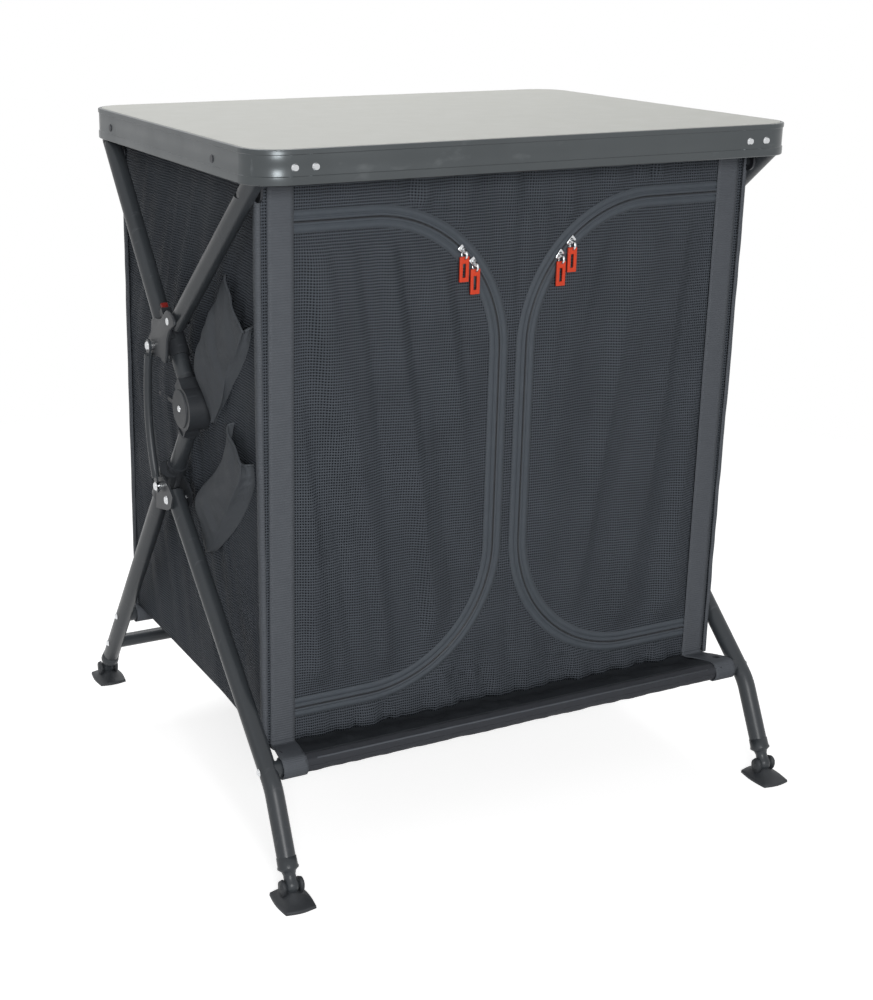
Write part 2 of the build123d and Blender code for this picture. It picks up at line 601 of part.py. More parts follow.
# Front braces: each turns on a rivet of the latch bracket and its upper end hooks on the
# pin of the front hinge bracket.
with BuildPart() as front_brace_tubes:
    brace_top = RAIL_BOTTOM - BRACE_TOP_GAP
    tube_start = (FRONT_PIVOT[1] - brace_top - 2 * TUBE_RADIUS) / -BRACE_DIR[1]
    tube(brace(tube_start), brace(BRACE_LENGTH + TUBE_OVERHANG), -TUBE_PLANE, TUBE_RADIUS, TUBE_WALL)
    low_x = -TUBE_PLANE - 12
    block(low_x, low_x + 24, -HALF_DEPTH - TUBE_RADIUS, 0, brace_top, HEIGHT, Mode.SUBTRACT)
    mouth_half = HINGE_PIN_RADIUS + HOOK_CLEARANCE
    hook_mouth(FRONT_PIVOT, BRACE_MOUTH_ANGLE, mouth_half, HOOK_REACH, low_x, low_x + 24)
    cross_bar(BRACE_CATCH, low_x, low_x + 24, RIVET_RADIUS + RUNNING_GAP, Mode.SUBTRACT)
    both_sides()
save(front_brace_tubes, "front_brace_tubes")

# Knee knuckles: cheeks on the upper tube, a disc between them on the lower tube.
NECK = KNUCKLE_NECK_HALF
INNER_HALF = KNUCKLE_HALF - CHEEK_THICKNESS
DISC_HALF = INNER_HALF - KNUCKLE_GAP
CHEEK_CENTRE = (KNEE_PIVOT[0] - CHEEK_SHIFT, KNEE_PIVOT[1])
KNEE_PLUG_RADIUS = KNEE_TUBE_RADIUS - TUBE_WALL - SEAT_GAP
with BuildPart() as upper_knuckles:
    rod(upper(KNEE_TUBE_END - PLUG_LENGTH), upper(KNEE_TUBE_END + 1), -KNEE_PLANE, KNEE_PLUG_RADIUS)
    rod(upper(KNEE_TUBE_END), upper(KNEE_TUBE_END + COLLAR_LENGTH), -KNEE_PLANE, COLLAR_RADIUS)
    neck_low = KNEE_TUBE_END + COLLAR_LENGTH
    neck = [upper(neck_low, -NECK), upper(neck_low, NECK)]
    neck += [upper(UPPER_LENGTH, NECK + 6), upper(UPPER_LENGTH, -NECK)]
    plate(neck, -KNEE_PLANE - KNUCKLE_HALF, -KNEE_PLANE + KNUCKLE_HALF)
    cross_bar(CHEEK_CENTRE, -KNEE_PLANE - KNUCKLE_HALF, -KNEE_PLANE + KNUCKLE_HALF, CHEEK_RADIUS)
    fork_radius = KNUCKLE_DISC_RADIUS + 1
    cross_bar(KNEE_PIVOT, -KNEE_PLANE - INNER_HALF, -KNEE_PLANE + INNER_HALF, fork_radius, Mode.SUBTRACT)
    fork = [
        KNEE_PIVOT,
        upper(UPPER_LENGTH - 30, -NECK - 1.5),
        upper(UPPER_LENGTH - KNUCKLE_REACH, -NECK - 2),
        upper(UPPER_LENGTH - KNUCKLE_REACH, -FORK_CUT_REACH),
        lower(FORK_CUT_REACH, -FORK_CUT_SIDE),
        lower(FORK_CUT_REACH, NECK + 1.5),
        lower(8, NECK + 1.5),
    ]
    plate(fork, -KNEE_PLANE - INNER_HALF, -KNEE_PLANE + INNER_HALF, Mode.SUBTRACT)
    hole = KNUCKLE_PIN_RADIUS + SEAT_GAP
    cross_bar(KNEE_PIVOT, -KNEE_PLANE - 20, -KNEE_PLANE + 20, hole, Mode.SUBTRACT)
    both_sides()
save(upper_knuckles, "upper_knuckles")

with BuildPart() as lower_knuckles:
    rod(lower(KNUCKLE_REACH - 1), lower(KNUCKLE_REACH + PLUG_LENGTH), -KNEE_PLANE, KNEE_PLUG_RADIUS)
    rod(lower(KNUCKLE_REACH - COLLAR_LENGTH), lower(KNUCKLE_REACH), -KNEE_PLANE, COLLAR_RADIUS)
    foot_c = KNUCKLE_REACH - COLLAR_LENGTH
    neck = [lower(8, -NECK), lower(foot_c, -NECK), lower(foot_c, NECK), lower(8, NECK)]
    plate(neck, -KNEE_PLANE - DISC_HALF, -KNEE_PLANE + DISC_HALF)
    cross_bar(KNEE_PIVOT, -KNEE_PLANE - DISC_HALF, -KNEE_PLANE + DISC_HALF, KNUCKLE_DISC_RADIUS)
    hole = KNUCKLE_PIN_RADIUS + RUNNING_GAP
    cross_bar(KNEE_PIVOT, -KNEE_PLANE - 20, -KNEE_PLANE + 20, hole, Mode.SUBTRACT)
    both_sides()
save(lower_knuckles, "lower_knuckles")

with BuildPart() as knee_pins:
    cross_bar(KNEE_PIVOT, -KNEE_PLANE - KNUCKLE_HALF, -KNEE_PLANE + KNUCKLE_HALF, KNUCKLE_PIN_RADIUS)
    rivet_head(KNEE_PIVOT, -KNEE_PLANE - KNUCKLE_HALF, 1.6 * KNUCKLE_PIN_RADIUS)
    both_sides()
save(knee_pins, "knee_pins")

# Lower knee tubes and rear legs.
with BuildPart() as lower_knee_tubes:
    tube(lower(KNUCKLE_REACH), lower(KNEE_TUBE_FOOT), -KNEE_PLANE, KNEE_TUBE_RADIUS, TUBE_WALL)
    both_sides()
save(lower_knee_tubes, "lower_knee_tubes")

with BuildPart() as rear_leg:
    tube(lower(LEG_TUBE_START), lower(LOWER_LENGTH - TUBE_TO_BALL), -TUBE_PLANE, TUBE_RADIUS, TUBE_WALL)
    for point in (REAR_CROSS_UPPER, REAR_CROSS_LOWER):
        cross_bar(point, -TUBE_PLANE - 12, -TUBE_PLANE + 12, RIVET_RADIUS + SEAT_GAP, Mode.SUBTRACT)
save_pair(rear_leg, "rear_leg")

# Hip bracket: two plates on sleeves round the knee tube and the leg carry the front leg.
HIP_PLATE = [
    (10.0, 1.0),
    (-14.0, 9.0),
    (-21.0, 31.0),
    (-21.0, 47.0),
    (-3.0, 51.0),
    (10.0, 44.0),
    (40.0, 18.0),
    (19.0, 5.0),
]
HIP_INNER_X = TUBE_PLANE - TUBE_RADIUS - PLATE_GAP
with BuildPart() as hip_bracket:
    corners = [lower(HIP_RUN + c, w) for c, w in HIP_PLATE]
    plate(corners, -PLATE_OUTSIDE, -PLATE_FACE)
    plate(corners, -HIP_INNER_X, -HIP_INNER_X + PLATE_THICKNESS)
    rod(lower(HIP_RUN - 15), lower(HIP_RUN + HIP_SLEEVE_FOOT), -TUBE_PLANE, SLEEVE_RADIUS)
    rod(lower(HIP_RUN - 24), lower(HIP_RUN + 10), -KNEE_PLANE, KNEE_SLEEVE_RADIUS)
    knee_bore = KNEE_TUBE_RADIUS + SEAT_GAP
    rod(lower(HIP_RUN - 30), lower(KNEE_TUBE_FOOT + 0.1), -KNEE_PLANE, knee_bore, Mode.SUBTRACT)
    sleeve_end = lower(HIP_RUN + HIP_SLEEVE_FOOT + CUT_RUNOUT)
    rod(lower(LEG_TUBE_START - 0.1), sleeve_end, -TUBE_PLANE, TUBE_RADIUS + SEAT_GAP, Mode.SUBTRACT)
    hole = HINGE_PIN_RADIUS + SEAT_GAP
    cross_bar(FRONT_LEG_PIVOT, -PLATE_OUTSIDE - 1, -KNEE_PLANE + 14, hole, Mode.SUBTRACT)
    cross_bar(STRUT_FOOT, -PLATE_OUTSIDE - 1, -PLATE_FACE + 1, RIVET_RADIUS + SEAT_GAP, Mode.SUBTRACT)
save_pair(hip_bracket, "hip_bracket")

with BuildPart() as hip_pins:
    cross_bar(FRONT_LEG_PIVOT, -PLATE_OUTSIDE, -HIP_INNER_X + PLATE_THICKNESS, HINGE_PIN_RADIUS)
    rivet_head(FRONT_LEG_PIVOT, -PLATE_OUTSIDE)
    strut_pin(STRUT_FOOT)
    both_sides()
save(hip_pins, "hip_pins")

# Bowed struts: each turns on a pin of the latch bracket and hooks on a stud of the hip
# bracket.
STRUT_DIR = direction(STRUT_FOOT, STRUT_TOP)
with BuildPart() as struts:
    rod_start = along(STRUT_FOOT, STRUT_DIR, STRUT_TONGUE - 5, -1.5)
    rod_end = along(STRUT_TOP, STRUT_DIR, 5 - STRUT_TONGUE, -1.5)
    middle = along(STRUT_FOOT, STRUT_DIR, math.dist(STRUT_FOOT, STRUT_TOP) / 2, -STRUT_BOW)
    with BuildLine(side_plane(-STRUT_PLANE)) as strut_line:
        ThreePointArc(rod_start, middle, rod_end)
    start_dir = strut_line.line % 0
    with BuildSketch(Plane(origin=strut_line.line @ 0, z_dir=start_dir)):
        Circle(STRUT_RADIUS)
    sweep(path=strut_line.line)
    for end, sign in ((STRUT_FOOT, 1), (STRUT_TOP, -1)):
        cross_bar(end, -EYE_OUT_X, -EYE_IN_X, STRUT_EYE_RADIUS)
        tongue = [along(end, STRUT_DIR, 0, side) for side in (5, -5)]
        tongue += [along(end, STRUT_DIR, sign * STRUT_TONGUE, side) for side in (-7, 3)]
        plate(tongue, -EYE_OUT_X, -EYE_IN_X)
    cross_bar(STRUT_TOP, -EYE_OUT_X - 1, -EYE_IN_X + 1, RIVET_RADIUS + RUNNING_GAP, Mode.SUBTRACT)
    mouth_half = RIVET_RADIUS + HOOK_CLEARANCE
    hook_mouth(STRUT_FOOT, STRUT_MOUTH_ANGLE, mouth_half, HOOK_REACH, -EYE_OUT_X - 1, -EYE_IN_X + 1)
    both_sides()
save(struts, "bowed_struts")

# Rear cross tubes stand between the legs on rivets.
with BuildPart() as rear_cross_tubes:
    for point in (REAR_CROSS_UPPER, REAR_CROSS_LOWER):
        end_x = TUBE_PLANE - TUBE_WALL
        with BuildSketch(side_plane(-end_x)):
            with Locations(point):
                Circle(CROSS_TUBE_RADIUS)
                Circle(CROSS_TUBE_RADIUS - TUBE_WALL, mode=Mode.SUBTRACT)
        extrude(amount=2 * end_x)
    for sign in (-1, 1):
        tube_hole = TUBE_RADIUS + SEAT_GAP
        rod(lower(LEG_TUBE_START), lower(LOWER_LENGTH), sign * TUBE_PLANE, tube_hole, Mode.SUBTRACT)
save(rear_cross_tubes, "rear_cross_tubes")


def cross_tube_rivet(point):
    """A rivet from the leg's outer face into the end of a cross tube."""
    seat_x = -TUBE_PLANE - TUBE_RADIUS
    inner_face = -TUBE_PLANE + TUBE_RADIUS
    cross_bar(point, seat_x, inner_face + 8, RIVET_RADIUS)
    cross_bar(point, inner_face + 4, inner_face + 10, CROSS_TUBE_RADIUS - TUBE_WALL - SEAT_GAP)
    rivet_head(point, seat_x, RIVET_RADIUS * 1.5)


with BuildPart() as rear_cross_rivets:
    cross_tube_rivet(REAR_CROSS_UPPER)
    cross_tube_rivet(REAR_CROSS_LOWER)
    both_sides()
save(rear_cross_rivets, "rear_cross_rivets")


def tube_plug(end, ball):
    """A plug in a leg's end: a collar, a stem and the ball that the shoe turns on."""
    unit = direction(end, ball)
    reach = math.dist(end, ball)
    plug_radius = TUBE_RADIUS - TUBE_WALL - SEAT_GAP
    neck = reach - math.sqrt(BALL_RADIUS**2 - STEM_RADIUS**2)
    turned = Plane(origin=(-TUBE_PLANE, end[0], end[1]), x_dir=(1, 0, 0), z_dir=(0, -unit[1], unit[0]))
    with BuildSketch(turned) as section:
        with BuildLine():
            Polyline(
                (0, reach + BALL_RADIUS),
                (0, -PLUG_LENGTH),
                (plug_radius, -PLUG_LENGTH),
                (plug_radius, 0),
                (PLUG_COLLAR_RADIUS, 0),
                (PLUG_COLLAR_RADIUS, PLUG_COLLAR_LENGTH - 3),
                (STEM_RADIUS + 3, PLUG_COLLAR_LENGTH),
                (STEM_RADIUS, PLUG_COLLAR_LENGTH + 3),
                (STEM_RADIUS, neck),
            )
            ThreePointArc((STEM_RADIUS, neck), (BALL_RADIUS, reach), (0, reach + BALL_RADIUS))
        make_face()
    revolve(section.sketch, Axis((-TUBE_PLANE, end[0], end[1]), (0, unit[0], unit[1])))
    cross_bar(ball, -TUBE_PLANE - 12, -TUBE_PLANE + 12, SHOE_PIN_RADIUS + RUNNING_GAP, Mode.SUBTRACT)


with BuildPart() as rear_leg_plugs:
    tube_plug(lower(LOWER_LENGTH - TUBE_TO_BALL), REAR_BALL)
    both_sides()
save(rear_leg_plugs, "rear_leg_plugs")

# Front legs: one bent tube each, with a cross tube and its cloth sleeve between them.
LEG_TOP = along(FRONT_LEG_PIVOT, FRONT_DIR, -TUBE_OVERHANG)
TOE_END = along(FRONT_BALL, TOE_DIR, -TUBE_TO_BALL)
with BuildPart() as front_leg:
    with BuildLine(side_plane(-TUBE_PLANE)) as leg_line:
        FilletPolyline(LEG_TOP, FRONT_LEG_BEND, TOE_END, radius=LEG_BEND_RADIUS)
    with BuildSketch(Plane(origin=leg_line.line @ 0, z_dir=leg_line.line % 0)):
        Circle(TUBE_RADIUS)
        Circle(TUBE_RADIUS - TUBE_WALL, mode=Mode.SUBTRACT)
    sweep(path=leg_line.line)
    hole = HINGE_PIN_RADIUS + RUNNING_GAP
    cross_bar(FRONT_LEG_PIVOT, -TUBE_PLANE - 12, -TUBE_PLANE + 12, hole, Mode.SUBTRACT)
    cross_bar(FRONT_CROSS, -TUBE_PLANE - 12, -TUBE_PLANE + 12, RIVET_RADIUS + SEAT_GAP, Mode.SUBTRACT)
save_pair(front_leg, "front_leg")

with BuildPart() as front_leg_plugs:
    tube_plug(TOE_END, FRONT_BALL)
    both_sides()
save(front_leg_plugs, "front_leg_plugs")

with BuildPart() as front_cross_tube:
    end_x = TUBE_PLANE - TUBE_WALL
    with BuildSketch(side_plane(-end_x)):
        with Locations(FRONT_CROSS):
            Circle(CROSS_TUBE_RADIUS)
            Circle(CROSS_TUBE_RADIUS - TUBE_WALL, mode=Mode.SUBTRACT)
    extrude(amount=2 * end_x)
    for sign in (-1, 1):
        straight_end = along(FRONT_LEG_BEND, FRONT_DIR, 30)
        rod(FRONT_LEG_PIVOT, straight_end, sign * TUBE_PLANE, TUBE_RADIUS + SEAT_GAP, Mode.SUBTRACT)
save(front_cross_tube, "front_cross_tube")

with BuildPart() as front_cross_rivets:
    cross_tube_rivet(FRONT_CROSS)
    both_sides()
save(front_cross_rivets, "front_cross_rivets")


def cloth_sleeve(point):
    """Cloth round a cross tube."""
    inner = CROSS_TUBE_RADIUS + CLOTH_GAP
    with BuildSketch(side_plane(-SLEEVE_HALF_LENGTH)) as section:
        with Locations(point):
            Circle(inner + SLEEVE_CLOTH)
            Circle(inner, mode=Mode.SUBTRACT)
    extrude(section.sketch, amount=2 * SLEEVE_HALF_LENGTH)


with BuildPart() as front_sleeve:
    cloth_sleeve(FRONT_CROSS)
save(front_sleeve, "front_sleeve")

with BuildPart() as rear_sleeve:
    cloth_sleeve(REAR_CROSS_UPPER)
save(rear_sleeve, "rear_sleeve")


def foot_shoe(ball, y_low, y_high):
    """A pad with two ears and the pin that goes through the leg's ball."""
    ear_in = BALL_RADIUS + SHOE_EAR_GAP
    ear_out = ear_in + SHOE_EAR
    x = -TUBE_PLANE
    block(x - SHOE_WIDTH / 2, x + SHOE_WIDTH / 2, y_low, y_high, 0, SHOE_BASE)
    for side in (-1, 1):
        near = x + side * ear_in
        far = x + side * ear_out
        ear = [(ball[0] + y, SHOE_BASE) for y in (-10, 10)]
        ear += [(ball[0] + y, ball[1]) for y in (7, -7)]
        plate(ear, min(near, far), max(near, far))
        cross_bar(ball, min(near, far), max(near, far), 7)
    cross_bar(ball, x - ear_out, x + ear_out, SHOE_PIN_RADIUS)


with BuildPart() as front_foot:
    foot_shoe(FRONT_BALL, FRONT_BALL[0] - SHOE_OUTER_REACH, FRONT_BALL[0] + SHOE_INNER_REACH)
save_pair(front_foot, "front_foot")

with BuildPart() as rear_foot:
    foot_shoe(REAR_BALL, REAR_BALL[0] - REAR_SHOE_INNER_REACH, REAR_BALL[0] + REAR_SHOE_OUTER_REACH)
save_pair(rear_foot, "rear_foot")

# Doors: each is a D with a square hinge side and two round inner corners.


def door_outline(grow):
    """Draws a left door's outline, larger all round except at the hinge by the given amount."""
    radius = DOOR_ARC_RADIUS + grow
    inner_x = -DOOR_INNER_X + grow
    arc_x = -DOOR_INNER_X - DOOR_ARC_RADIUS
    top = DOOR_TOP_Z + grow
    foot = DOOR_FOOT_Z - grow
    hinge_x = -DOOR_HINGE_X
    with BuildLine() as outline:
        Polyline((arc_x, foot), (hinge_x, foot), (hinge_x, top), (arc_x, top))
        RadiusArc((arc_x, top), (inner_x, DOOR_TOP_Z - DOOR_ARC_RADIUS), radius)
        Line((inner_x, DOOR_TOP_Z - DOOR_ARC_RADIUS), (inner_x, DOOR_FOOT_Z + DOOR_ARC_RADIUS))
        RadiusArc((inner_x, DOOR_FOOT_Z + DOOR_ARC_RADIUS), (arc_x, foot), radius)
    make_face(outline.line.edges())


with BuildPart() as front_panel:
    panel_foot = FLOOR_BOARD_Z
    with BuildSketch(Plane.XZ.offset(-FRONT_WALL_Y)):
        with Locations((0, (CLOTH_TOP + panel_foot) / 2)):
            Rectangle(2 * CLOTH_HALF_WIDTH, CLOTH_TOP - panel_foot)
    extrude(amount=-CLOTH)
    with BuildSketch(Plane.XZ.offset(-FRONT_WALL_Y + 1)) as left_opening:
        door_outline(0)
    extrude(amount=-CLOTH - 2, mode=Mode.SUBTRACT)
    with BuildSketch(Plane.XZ.offset(-FRONT_WALL_Y + 1)):
        mirror(left_opening.sketch, about=Plane.YZ)
    extrude(amount=-CLOTH - 2, mode=Mode.SUBTRACT)
save(front_panel, "front_panel")

FOLD_STEP = (DOOR_HINGE_X - DOOR_INNER_X) / (2 * DOOR_FOLD_COUNT)
with BuildPart() as door:
    with BuildSketch(Plane.XY.offset(DOOR_FOOT_Z)):
        with BuildLine():
            front = []
            for index in range(2 * DOOR_FOLD_COUNT + 1):
                lift = DOOR_FOLD_DEPTH / 2 * (index % 2)
                front.append((index * FOLD_STEP - DOOR_HINGE_X, FRONT_WALL_Y + lift))
            front_line = Spline(*front)
            back_line = Spline(*[(x, y + CLOTH) for x, y in front])
            Line(front_line @ 0, back_line @ 0)
            Line(front_line @ 1, back_line @ 1)
        make_face()
    extrude(amount=DOOR_TOP_Z - DOOR_FOOT_Z)
    with BuildSketch(Plane.XZ.offset(-FRONT_WALL_Y + 10)):
        door_outline(-DOOR_GAP)
    extrude(amount=-20, mode=Mode.INTERSECT)
save_pair(door, "door")

with BuildPart() as zip_tapes:
    with BuildSketch(Plane.XZ.offset(-FRONT_WALL_Y + CLOTH_GAP)) as left_tape:
        door_outline(TAPE_WIDTH)
        with BuildSketch(Plane.XY, mode=Mode.SUBTRACT):
            door_outline(0)
    extrude(amount=TAPE_THICKNESS)
    both_sides()
save(zip_tapes, "zip_tapes")

with BuildPart() as front_webbing:
    front_y = FRONT_WALL_Y - CLOTH_GAP - WEBBING_THICKNESS
    back_y = FRONT_WALL_Y - CLOTH_GAP
    inner_x = WEBBING_WIDTH - WEBBING_OUTER_X
    block(-WEBBING_OUTER_X, inner_x, front_y, back_y, FLOOR_BOARD_Z, CLOTH_TOP)
    both_sides()
save(front_webbing, "front_webbing")

# Walls and floor of the cloth body.
WALL_FRONT_Y = FRONT_WALL_Y + CLOTH + CLOTH_GAP
with BuildPart() as side_wall:
    corners = [(WALL_FRONT_Y, FLOOR_BOARD_Z), (REAR_WALL_FOOT_Y + CLOTH, FLOOR_BOARD_Z)]
    corners += [(REAR_WALL_TOP_Y + CLOTH, CLOTH_TOP), (WALL_FRONT_Y, CLOTH_TOP)]
    plate(corners, -SIDE_WALL_X, -SIDE_INSIDE)
save_pair(side_wall, "side_wall")

with BuildPart() as rear_wall:
    corners = [(REAR_WALL_FOOT_Y, FLOOR_BOARD_Z), (REAR_WALL_FOOT_Y + CLOTH, FLOOR_BOARD_Z)]
    corners += [(REAR_WALL_TOP_Y + CLOTH, CLOTH_TOP), (REAR_WALL_TOP_Y, CLOTH_TOP)]
    plate(corners, CLOTH_GAP - SIDE_INSIDE, SIDE_INSIDE - CLOTH_GAP)
save(rear_wall, "rear_wall")

with BuildPart() as floor_cloth:
    half = SIDE_INSIDE - CLOTH_GAP
    top = FLOOR_CLOTH_Z + CLOTH
    block(-half, half, FRONT_CROSS[0], REAR_WALL_FOOT_Y + CLOTH, FLOOR_CLOTH_Z, top)
save(floor_cloth, "floor_cloth")


def side_pocket(corners, depth):
    """A sewn pocket on the left wall, deeper at its mouth than at its foot."""
    outer_x = -SIDE_WALL_X - CLOTH_GAP
    foot_low, foot_high, top_high, top_low = corners
    ends = []
    for foot, top in ((foot_low, top_low), (foot_high, top_high)):
        with BuildSketch(Plane.XZ.offset(-foot[0])) as end:
            with BuildLine():
                Polyline(
                    (outer_x, foot[1]),
                    (outer_x, top[1]),
                    (outer_x - depth, top[1]),
                    (outer_x - POCKET_FOOT_DEPTH, foot[1]),
                    close=True,
                )
            make_face()
        ends.append(end.sketch)
    loft(ends, ruled=True)


with BuildPart() as side_pockets:
    side_pocket(UPPER_POCKET, UPPER_POCKET_DEPTH)
    side_pocket(LOWER_POCKET, LOWER_POCKET_DEPTH)
save(side_pockets, "side_pockets")

# Stiff boards of the two shelves.


def shelf_board(z):
    half = SIDE_INSIDE - CLOTH_GAP
    front_y = WALL_FRONT_Y + DOOR_FOLD_DEPTH
    with BuildPart() as board:
        block(-half, half, front_y, REAR_WALL_TOP_Y - CLOTH_GAP, z, z + SHELF_THICKNESS)
    return board


save(shelf_board(SHELF_Z), "middle_shelf")
save(shelf_board(FLOOR_BOARD_Z), "floor_board")

# Zip sliders on the round upper corner of each door, each with a pull on its bar.
ARC_X = -DOOR_INNER_X - DOOR_ARC_RADIUS
ARC_Z = DOOR_TOP_Z - DOOR_ARC_RADIUS
SLIDER_BACK_Y = FRONT_WALL_Y - CLOTH_GAP - TAPE_THICKNESS - CLOTH_GAP
SLIDER_FRONT_Y = SLIDER_BACK_Y - SLIDER_HEIGHT
BAR_Y = SLIDER_FRONT_Y - PULL_EYE_RADIUS - PULL_SIDE_GAP
POST_IN_X = PULL_EYE_WIDTH / 2 + PULL_SIDE_GAP


def zip_place(angle):
    """(x, z) on the round corner of the left door's zip."""
    turn = math.radians(angle)
    return (ARC_X + DOOR_ARC_RADIUS * math.cos(turn), ARC_Z + DOOR_ARC_RADIUS * math.sin(turn))


def zip_slider(angle):
    x, z = zip_place(angle)
    with BuildPart() as piece:
        with BuildSketch(Plane.XZ.offset(-SLIDER_BACK_Y)):
            with Locations(Location((x, z, 0), (0, 0, angle))):
                RectangleRounded(SLIDER_WIDTH, SLIDER_LENGTH, 2)
        extrude(amount=SLIDER_HEIGHT)
        for side in (-1, 1):
            near = x + side * POST_IN_X
            far = x + side * (POST_IN_X + SLIDER_POST)
            low = BAR_Y - 1.6
            block(min(near, far), max(near, far), low, SLIDER_FRONT_Y + 0.5, z - 1.5, z + 1.5)
        cross_bar((BAR_Y, z), x - POST_IN_X - 0.5, x + POST_IN_X + 0.5, PULL_BAR_RADIUS)
    return piece


def zip_pull(angle):
    x, z = zip_place(angle)
    with BuildPart() as piece:
        cross_bar((BAR_Y, z), x - PULL_EYE_WIDTH / 2, x + PULL_EYE_WIDTH / 2, PULL_EYE_RADIUS)
        tab_low = BAR_Y - PULL_THICKNESS / 2
        shoulder = PULL_EYE_RADIUS + 3
        half = PULL_EYE_WIDTH / 2
        block(x - half, x + half, tab_low, tab_low + PULL_THICKNESS, z - shoulder - 1, z)
        with BuildSketch(Plane.XZ.offset(-tab_low)):
            with Locations((x, z - (shoulder + PULL_LENGTH) / 2)):
                RectangleRounded(PULL_WIDTH, PULL_LENGTH - shoulder, 2)
        extrude(amount=-PULL_THICKNESS)
        bar_hole = PULL_BAR_RADIUS + RUNNING_GAP
        cross_bar((BAR_Y, z), x - PULL_WIDTH, x + PULL_WIDTH, bar_hole, Mode.SUBTRACT)
    return piece


save_pair(zip_slider(SLIDER_UPPER_ANGLE), "upper_zip_slider")
save_pair(zip_slider(SLIDER_LOWER_ANGLE), "lower_zip_slider")
save_pair(zip_pull(SLIDER_UPPER_ANGLE), "upper_zip_pull")
save_pair(zip_pull(SLIDER_LOWER_ANGLE), "lower_zip_pull")
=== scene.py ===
# %% [markdown]
# # A camping kitchen cupboard
#
# The real cupboard is a worktop on a folding frame of coated tubes, with a body of coarse
# mesh cloth that hangs from the worktop. The tubes, brackets and panel arrive as exact CAD
# solids, so they only need a finish. Everything soft is modelled here, because cloth that
# hangs, puckers and sags is what makes the object look real, and so are the moulded feet,
# the plugs and the small parts of the zips.

import json
import math

import bmesh
import bpy
from mathutils import Matrix, Vector, noise


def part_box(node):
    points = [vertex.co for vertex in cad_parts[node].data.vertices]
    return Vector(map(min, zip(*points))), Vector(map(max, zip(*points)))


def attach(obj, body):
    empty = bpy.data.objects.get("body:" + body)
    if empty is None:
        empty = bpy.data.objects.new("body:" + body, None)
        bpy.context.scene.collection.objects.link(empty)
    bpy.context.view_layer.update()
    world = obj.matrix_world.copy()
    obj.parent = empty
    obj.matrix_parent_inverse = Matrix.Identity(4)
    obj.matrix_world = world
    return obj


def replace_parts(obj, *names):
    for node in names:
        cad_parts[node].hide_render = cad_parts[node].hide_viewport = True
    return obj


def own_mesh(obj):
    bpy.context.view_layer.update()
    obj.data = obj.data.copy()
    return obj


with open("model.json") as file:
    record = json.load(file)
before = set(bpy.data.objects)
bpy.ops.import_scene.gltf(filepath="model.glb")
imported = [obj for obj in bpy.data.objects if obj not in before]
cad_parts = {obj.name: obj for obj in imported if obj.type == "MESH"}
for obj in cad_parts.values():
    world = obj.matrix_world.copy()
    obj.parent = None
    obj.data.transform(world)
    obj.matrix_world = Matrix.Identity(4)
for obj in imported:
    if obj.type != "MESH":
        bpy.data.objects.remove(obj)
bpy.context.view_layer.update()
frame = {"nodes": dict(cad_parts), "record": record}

# %% [markdown]
# ## Camera
#
# A camera is a place, three directions and a lens. These came from the corners of the
# worktop and the feet, which show where the photographer stood. The picture's middle isn't
# where the lens points, and a small shift of the lens puts that right.

# %% Place the camera
CAMERA_PLACE = Vector((-0.9979, -1.7781, 1.0254))
CAMERA_BACK = Vector((-0.4163, -0.8583, 0.3002)).normalized()
CAMERA_LEVEL = Vector((0.8998, -0.4363, 0.0))
CAMERA_ROLL = math.radians(0.25)
LENS = 58.55
LENS_SHIFT = (0.1074, -0.0415)

level = (CAMERA_LEVEL - CAMERA_LEVEL.dot(CAMERA_BACK) * CAMERA_BACK).normalized()
upright = CAMERA_BACK.cross(level)
right = level * math.cos(CAMERA_ROLL) + upright * math.sin(CAMERA_ROLL)
up = upright * math.cos(CAMERA_ROLL) - level * math.sin(CAMERA_ROLL)
camera_data = bpy.data.cameras.new("camera")
camera_data.lens = LENS
camera_data.shift_x, camera_data.shift_y = LENS_SHIFT
camera = bpy.data.objects.new("camera", camera_data)
bpy.context.collection.objects.link(camera)
turn = Matrix((right, up, CAMERA_BACK)).transposed().to_4x4()
camera.matrix_world = Matrix.Translation(CAMERA_PLACE) @ turn
bpy.context.scene.camera = camera
print("camera stands", round(CAMERA_PLACE.length, 2), "m from the cupboard's foot")

# %% [markdown]
# ## Light, floor and background
#
# A catalogue picture is lit by big soft lamps, so shadows have no hard edge. Area lamps do
# the same: the larger the lamp, the softer the shadow. The world lights the sides that
# no lamp reaches, and only camera, glossy and transmission rays see it pure white.

# %% Light the studio
# each lamp's place, its width in metres and its power in watts
LAMPS = {
    "key_lamp": ((-1.2, -3.2, 1.4), 1.2, 62.0),
    "side_lamp": ((-3.2, -1.2, 2.6), 1.2, 3.0),
    "back_lamp": ((0.2, 1.6, 3.2), 2.0, 50.0),
}
WORLD_LIGHT = 0.13
AIM = Vector((0.0, 0.0, 0.4))

for name, (place, width, power) in LAMPS.items():
    lamp_data = bpy.data.lights.new(name, "AREA")
    lamp_data.size = width
    lamp_data.energy = power
    lamp = bpy.data.objects.new(name, lamp_data)
    lamp.location = place
    lamp.rotation_euler = (Vector(place) - AIM).to_track_quat("Z", "Y").to_euler()
    bpy.context.collection.objects.link(lamp)
bpy.context.scene.view_settings.view_transform = "Standard"
print("lamps:", ", ".join(LAMPS))

# %% [markdown]
# ## Helpers for nodes
#
# A material is a small graph of nodes. Two helpers keep the graphs readable: one adds a
# node and fills its sockets with values or links, the other adds one step of arithmetic.


# %% Node helpers
def paint(red, green, blue):
    """A colour as it is seen on the screen, 0 to 255, in Blender's linear values."""
    linear = []
    for part in (red, green, blue):
        share = part / 255
        linear.append(share / 12.92 if share <= 0.04045 else ((share + 0.055) / 1.055) ** 2.4)
    return (*linear, 1.0)


